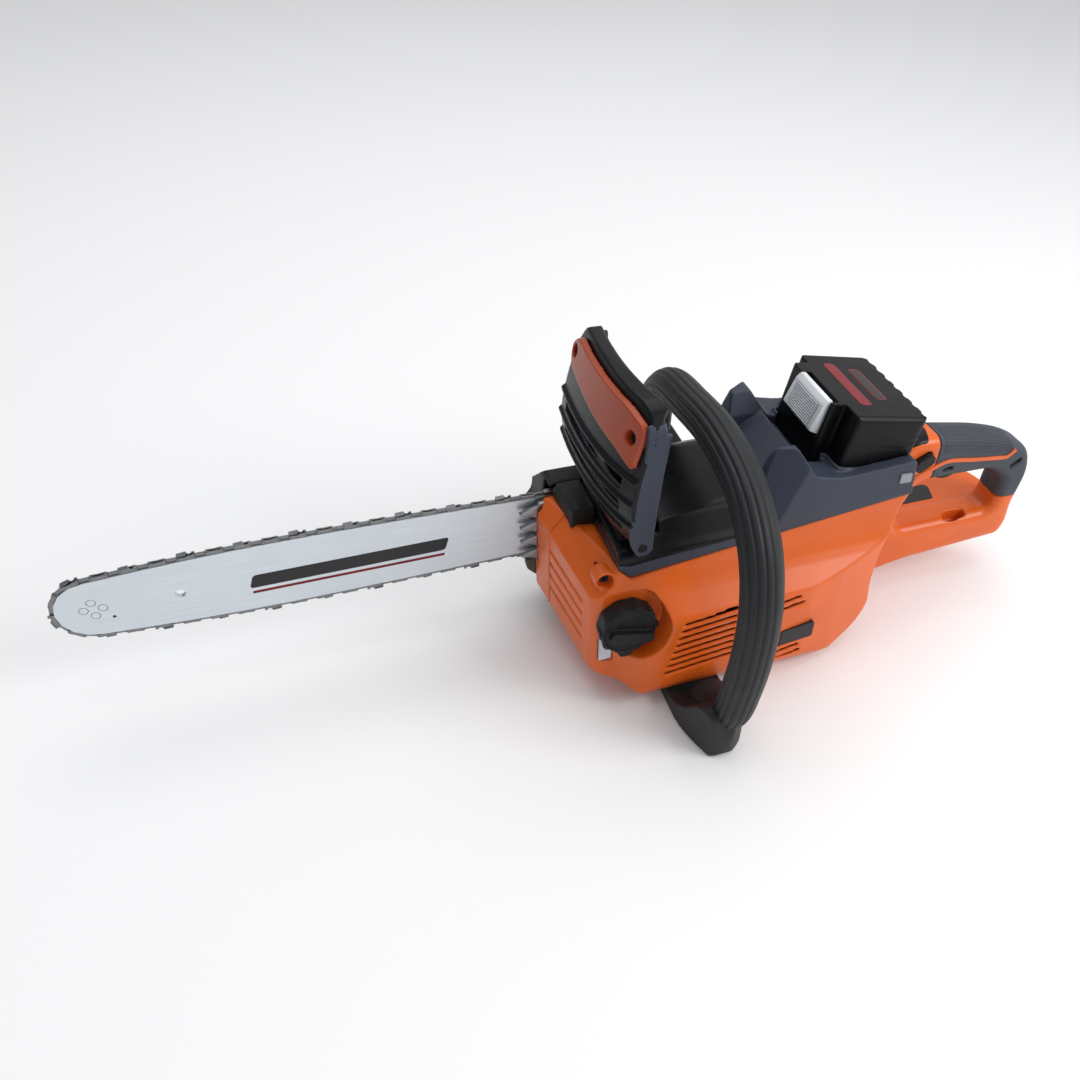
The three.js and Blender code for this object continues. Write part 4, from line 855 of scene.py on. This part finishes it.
def handle_foot():
    side = [
        (-186, 18, 6), (-185, 0, 7), (-4, 0, 2), (-4, 10, 2), (-90, 12, 2),
        (-126, 12, 10), (-150, 24, 14), (-165, 44, 8), (-180, 44, 8),
    ]
    web = prism("foot", "x", side, 74, 122)
    plan = [(72, -4), (122, -4), (119, -172, 22), (100, -187, 18), (86, -184, 18), (74, -150, 20)]
    return mould(keep(web, prism("plan", "z", plan, -5, 60, 10)), 1.0, 6, 0.4)


tube = show(front_handle(), "housing", "rubber", "front_handle", angle=35)
foot = handle_foot()
foot.name = "front_handle_foot"
show(foot, "housing", "rubber", angle=60)

# ---- Battery ------------------------------------------------------------------------------

TILT = math.radians(11.5)
BATTERY_TOP = (248, 0, 215)
BATTERY = {"front": -39, "rear": 39, "left": -85, "right": 8, "depth": 84}
LATCH_Y = -41


def leaned(piece):
    """Turns a piece drawn upright in the battery's own frame and sets it in the bay."""
    turn = Matrix.Rotation(TILT, 4, "Y")
    piece.data.transform(Matrix.Translation(place(*BATTERY_TOP)) @ turn @ Matrix.Translation(-ORIGIN))
    return piece


def battery_plan(grow=0):
    front, rear, left, right = (BATTERY[k] for k in ("front", "rear", "left", "right"))
    return [
        (front - grow, -66 - grow, 3), (-26 - grow, -66 - grow, 2),
        (-26 - grow, left - grow, 5), (rear + grow, left - grow, 7),
        (rear + grow, right + grow, 7), (-26 - grow, right + grow, 5),
        (-26 - grow, -5 + grow, 2), (front - grow, -5 + grow, 3),
    ]


def battery():
    body = prism("pack", "z", battery_plan(), -84, 0, 8)
    scallops = []
    for i in range(7):
        centre = (BATTERY["rear"] + 3.2, BATTERY["left"] + 7.5 + i * 13)
        scallops.append(turned("scallop", centre, [(-60, 5), (4, 5)], 24, "z"))
    pocket = box("pocket", BATTERY["front"] - 6, BATTERY["front"] + 8, LATCH_Y - 22, LATCH_Y + 22, -30, 4)
    left = BATTERY["left"]
    chamfer = prism("chamfer", "x", [(left - 2, -5), (left + 4.5, 2), (left - 2, 2)], -60, 60)
    grooves = [box("groove", -22, 36, left - 1, left + 0.7, z, z + 1.6) for z in (-15, -21, -27)]
    steps = [box("step", -36 + k * 3, -35 + k * 3, -66.8, -64.5, -60, -8) for k in range(3)]
    body = cut(body, *scallops, pocket, chamfer, *grooves, *steps)
    body.name = "battery_shell"
    return leaned(mould(body, 0.8, 5, 0.4))


def latch():
    wedge = [(-40, 0, 1), (-43, -4, 1), (-47, -26, 2), (-37, -29, 1), (-36, 0)]
    body = prism("latch", "y", wedge, LATCH_Y - 21.2, LATCH_Y + 21.2)
    ribs = []
    for k in range(11):
        z = -6.2 - k * 1.75
        face_x = -43 - 4 * (-4 - z) / 22
        ribs.append(box("rib", face_x - 0.95, face_x + 2, LATCH_Y - 17, LATCH_Y + 17, z - 0.4, z + 0.4))
    body = join(body, *ribs)
    body.name = "latch_button"
    return leaned(bevel(body, 0.25, 2))


show(battery(), "battery", "battery", "battery_case", angle=50)
show(latch(), "latch", "white", "battery_latch")
LATCH_FIELD = [(-43.5, -5.2), (-41.7, -5.2), (-45.3, -25), (-47.1, -25)]
latch_field = prism("latch_field", "y", LATCH_FIELD, LATCH_Y - 17, LATCH_Y + 17)
show(leaned(latch_field), "latch", "pale_label")


def battery_print(name, corners, look, low=-0.1, high=0.16):
    return show(leaned(prism(name, "z", corners, low, high, 8)), "battery", look)


battery_print("battery_label", [(-13, -67, 5), (-2, -67, 5), (-2, -5, 5), (-13, -5, 5)], "red_label")
battery_print("battery_ring", [(6, -59, 5), (17, -59, 5), (17, -13, 5), (6, -13, 5)], "red_label")
RING_FIELD = [(7.4, -57.6, 4), (15.6, -57.6, 4), (15.6, -14.4, 4), (7.4, -14.4, 4)]
battery_print("battery_ring_field", RING_FIELD, "dark_label", -0.1, 0.24)

# ---- Rear handle --------------------------------------------------------------------------

HANDLE_SIDE = [
    (281, 156, 3), (304, 166, 8), (326, 165, 8), (373, 156, 12),
    (402, 147, 14), (425, 134, 20), (433, 110, 16),
    (428, 74, 6), (430, 52, 8), (424, 37, 10), (326, 31, 10), (290, 24, 16), (262, 12, 2), (260, 38, 6),
    (258.5, 62, 6), (260.5, 98, 6), (271.5, 124, 4), (281, 146),
]
HANDLE_OPENING = [(304, 108, 12), (322, 121, 8), (390, 119, 8), (407, 105, 10), (405, 70, 12), (306, 70, 12)]
GRIP_SIDE = [(326, 180), (326, 112), (386, 112), (386, 85), (470, 85), (470, 180)]


def handle_slab(name, shrink, radius, low, high):
    """The handle's loop as a slab with rounded edges inside and outside."""
    curve = bpy.data.curves.new(name, "CURVE")
    curve.dimensions = "2D"
    curve.fill_mode = "BOTH"
    for corners in (HANDLE_SIDE, HANDLE_OPENING):
        points = rounded(corners, 8)
        spline = curve.splines.new("POLY")
        spline.points.add(len(points) - 1)
        for target, p in zip(spline.points, points):
            target.co = (p.x / 1000, p.y / 1000, 0, 1)
        spline.use_cyclic_u = True
    curve.extrude = ((high - low) / 2 - radius) / 1000
    curve.bevel_depth = radius / 1000
    curve.bevel_resolution = 5
    curve.offset = -(radius + shrink) / 1000
    holder = bpy.data.objects.new(name, curve)
    bpy.context.scene.collection.objects.link(holder)
    graph = bpy.context.evaluated_depsgraph_get()
    mesh = bpy.data.meshes.new_from_object(holder.evaluated_get(graph))
    bpy.data.objects.remove(holder)
    upright = Matrix(((1, 0, 0, 0), (0, 0, -1, 0), (0, 1, 0, 0), (0, 0, 0, 1)))
    mesh.transform(Matrix.Translation(place(0, (low + high) / 2, 0)) @ upright)
    bm = bmesh.new()
    bm.from_mesh(mesh)
    bmesh.ops.remove_doubles(bm, verts=bm.verts, dist=1e-6)
    bmesh.ops.recalc_face_normals(bm, faces=bm.faces)
    bm.to_mesh(mesh)
    bm.free()
    made = bpy.data.objects.new(name, mesh)
    bpy.context.scene.collection.objects.link(made)
    return made


def rear_frame():
    loop = handle_slab("loop", 0, 9, -62, -30)
    frame_part = cut(loop, prism("zone", "y", GRIP_SIDE, -100, 20))
    core = keep(handle_slab("core", 4, 7, -57, -35), prism("zone", "y", GRIP_SIDE, -100, 20))
    plan = [(262, -42), (432, -42, 4), (420, 4, 14), (262, 4, 4)]
    plate = prism("plate", "z", plan, 54, 69)
    body = join(frame_part, core, plate)
    pocket = prism("pocket", "y", [(324, 100), (366, 100), (366, 138), (324, 141)], -53, -39)
    lock = prism("lock", "y", [(306, 136, 5), (322, 146, 5), (318, 156, 5), (301, 147, 5)], -70, -47)
    slot = [(358, -58, 3), (366, -60, 4), (382, -57, 4), (382, -50, 4), (368, -48, 4), (358, -52, 3)]
    keyhole = prism("keyhole", "z", slot, 58, 76)
    body = cut(body, pocket, lock, keyhole)
    body.name = "rear_frame"
    return mould(body, 0.9, 5, 0.4)


def rear_grip():
    zone = [(326.4, 180), (326.4, 112), (386.4, 111), (386.4, 85.4), (470, 85.4), (470, 180)]
    sleeve = keep(handle_slab("sleeve", 0, 9, -62, -30), prism("zone", "y", zone, -100, 20))
    slots = [
        prism("slot", "y", [(335, 129, 1.5), (346, 130, 1.5), (345, 134, 1.5), (336, 132.5, 1.5)], -64, -57),
        prism("slot", "y", [(406, 117, 1.5), (417, 123, 1.5), (417, 129, 1.5), (407, 122, 1.5)], -64, -56),
    ]
    trigger_gap = prism("gap", "y", [(324, 100), (366, 100), (366, 138), (324, 141)], -53.4, -38.6)
    body = cut(sleeve, trigger_gap, *slots)
    body.name = "rear_grip"
    return mould(body, 0.8, 5, 0.5)


show(rear_frame(), "housing", "orange", "rear_handle", angle=60)
show(rear_grip(), "housing", "grip", "grip_cover", angle=60)


def ribbon(name, points, width, depth, look, body):
    """A thin raised stripe on the left side of the grip, drawn through (x, z) points."""
    line = smooth_line([Vector((x, -61.9, z)) for x, z in points], 10)
    frames = []
    for i, here in enumerate(line):
        tangent = (line[min(i + 1, len(line) - 1)] - line[max(i - 1, 0)]).normalized()
        frames.append((here, Vector((0, 1, 0)), tangent.cross(Vector((0, 1, 0))).normalized()))
    section = [(-depth, -width / 2), (-depth, width / 2), (depth, width / 2), (depth, -width / 2)]
    return show(sweep(name, frames, lambda i: section), body, look)


GRIP_STRIPE = [(309, 129), (322, 135), (337, 140.6), (364, 137), (390, 133.6), (399, 133), (406, 139)]
ribbon("grip_stripe", GRIP_STRIPE, 3.8, 0.8, "orange", "housing")


def top_edge(x):
    """Height of the handle's upper edge at a position along it."""
    points = rounded(HANDLE_SIDE, 8)
    edges = zip(points, points[1:] + points[:1])
    spans = [(a, b) for a, b in edges if min(a.x, b.x) <= x <= max(a.x, b.x) and a.x != b.x]
    return max(a.y + (b.y - a.y) * (x - a.x) / (b.x - a.x) for a, b in spans)


def grip_ribs():
    """Fine ribs along the top and the upper left side of the grip."""
    corner, radius = -62 + 9, 9
    ribs = []
    for k in range(13):
        along = k * 2.3
        if along < 10:
            y, drop, normal = -43 - along, 0.0, Vector((0, 0, 1))
        elif along < 10 + radius * math.pi / 2:
            turn = (along - 10) / radius
            y, drop = corner - radius * math.sin(turn), radius * (1 - math.cos(turn))
            normal = Vector((0, -math.sin(turn), math.cos(turn)))
        else:
            y, drop, normal = -62, radius + along - 10 - radius * math.pi / 2, Vector((0, -1, 0))
        frames = []
        for x in range(331, 405, 3):
            here = Vector((x, y, top_edge(x) - drop)) + normal * 0.05
            frames.append((here, Vector((1, 0, 0)).cross(normal), normal))
        shape = [(-0.6, -0.5), (-0.45, 0.25), (0, 0.42), (0.45, 0.25), (0.6, -0.5)]
        ribs.append(sweep("rib", frames, lambda i: shape))
    return merge("grip_ribs", ribs)


show(grip_ribs(), "housing", "grip", angle=60)


def collar_inset():
    """Black inset on top of the collar between the battery and the grip."""
    skin = handle_slab("skin", -0.5, 9.5, -62.5, -29.5)
    zone = [(292, -60, 2), (314, -60, 2), (319, -46, 2), (319, -36, 2), (292, -36, 2)]
    return keep(skin, prism("zone", "z", zone, 160, 172))


def label(name, axis, corners, low, high, look):
    """A plain stick-on plate with rounded corners."""
    return show(prism(name, axis, corners, low, high, 6), "housing", look)


PLATE_LABEL = [(332, -29, 2), (366, -29, 2), (371, -13, 2), (368, -9, 2), (334, -9, 2)]
BAY_LABEL = [(263.5, 160.4, 1), (274, 160, 1), (273.5, 168.5, 1), (263.5, 169, 1)]
label("plate_label", "z", PLATE_LABEL, 68.6, 69.4, "dark_label")
label("bay_label", "y", BAY_LABEL, -97.7, -95.5, "pale_label")
label("side_label", "y", [(167, 38, 2), (196, 41, 2), (196, 57, 2), (167, 54, 2)], -125.3, -122, "dark_label")

inset_piece = collar_inset()
inset_piece.name = "collar_inset"
show(inset_piece, "housing", "black_gloss_and_shade")

# ---- Carried-over nodes -------------------------------------------------------------------

MATERIAL_OF_NODE = {
    entry["node"]: LOOK[LOOK_OF_SLOT[entry["material_slot"]]] for entry in frame["record"]["subparts"]
}

for name in ("guard_pin", "guard_screw_left", "guard_screw_right", "housing_screw"):
    MATERIAL_OF_NODE[name] = LOOK["black"]

for name, cad in frame["nodes"].items():
    cad.data.materials.clear()
    cad.data.materials.append(MATERIAL_OF_NODE[name])

# ---- Stage, lights and camera -------------------------------------------------------------


def plain(name, color, roughness):
    material = bpy.data.materials.new(name)
    material.use_nodes = True
    shader = material.node_tree.nodes["Principled BSDF"]
    shader.inputs["Base Color"].default_value = (*color, 1)
    shader.inputs["Roughness"].default_value = roughness
    return material


def floor():
    bm = bmesh.new()
    low = CAD_BOX[0].z
    rows = [[bm.verts.new((x, y, low - 0.0004)) for x in (-6, 0, 6)] for y in (-6, 0, 6)]
    for i in range(2):
        for k in range(2):
            bm.faces.new((rows[i][k], rows[i][k + 1], rows[i + 1][k + 1], rows[i + 1][k]))
    mesh = bpy.data.meshes.new("floor")
    bm.to_mesh(mesh)
    bm.free()
    made = bpy.data.objects.new("floor", mesh)
    bpy.context.scene.collection.objects.link(made)
    made.data.materials.append(plain("floor_paint", (0.93, 0.93, 0.93), 0.9))
    return made


floor()


def area_light(name, at, aim, size, power, color=(1, 1, 1)):
    light = bpy.data.lights.new(name, "AREA")
    light.shape = "DISK"
    light.size = size
    light.energy = power
    light.color = color
    holder = bpy.data.objects.new(name, light)
    bpy.context.scene.collection.objects.link(holder)
    holder.location = at
    holder.rotation_mode = "QUATERNION"
    holder.rotation_quaternion = (Vector(aim) - Vector(at)).to_track_quat("-Z", "Y")


area_light("key", (1.25, -0.9, 1.2), (0.05, 0, 0.1), 0.9, 15)
area_light("top", (0.1, 0.5, 2.2), (0, 0, 0.1), 2.4, 22)

world = bpy.data.worlds.new("studio")
world.use_nodes = True
sky = world.node_tree
direction = sky.nodes.new("ShaderNodeTexCoord").outputs["Generated"]
split = sky.nodes.new("ShaderNodeSeparateXYZ")
sky.links.new(direction, split.inputs[0])
side = ramp(sky, split.outputs["X"], (0.26, 0.28, 0.32), (0.95, 0.95, 0.95), 0.0, 0.8)
spread = node(sky, "ShaderNodeMapRange")
spread.inputs["From Min"].default_value = -1
spread.inputs["From Max"].default_value = 1
sky.links.new(split.outputs["X"], spread.inputs["Value"])
sky.links.new(spread.outputs["Result"], side.node.inputs["Fac"])
sky.links.new(side, sky.nodes["Background"].inputs["Color"])
sky.nodes["Background"].inputs["Strength"].default_value = 0.8
bpy.context.scene.world = world
bpy.context.scene.view_settings.view_transform = "Standard"

camera = bpy.data.cameras.new("camera")
camera.sensor_width = 36
camera.lens = 31.96
camera.shift_x = -0.0683
camera.shift_y = -0.0261
camera_object = bpy.data.objects.new("camera", camera)
bpy.context.scene.collection.objects.link(camera_object)
RIGHT = Vector((0.9445, -0.3263, 0.0375))
UP = Vector((0.1827, 0.6167, 0.7657))
BACK = RIGHT.cross(UP)
CAMERA_AT = place(-146.9, -565.0, 606.9)
facing = Matrix((RIGHT, UP, BACK)).transposed().to_4x4()
camera_object.matrix_world = Matrix.Translation(CAMERA_AT) @ facing
bpy.context.scene.camera = camera_object
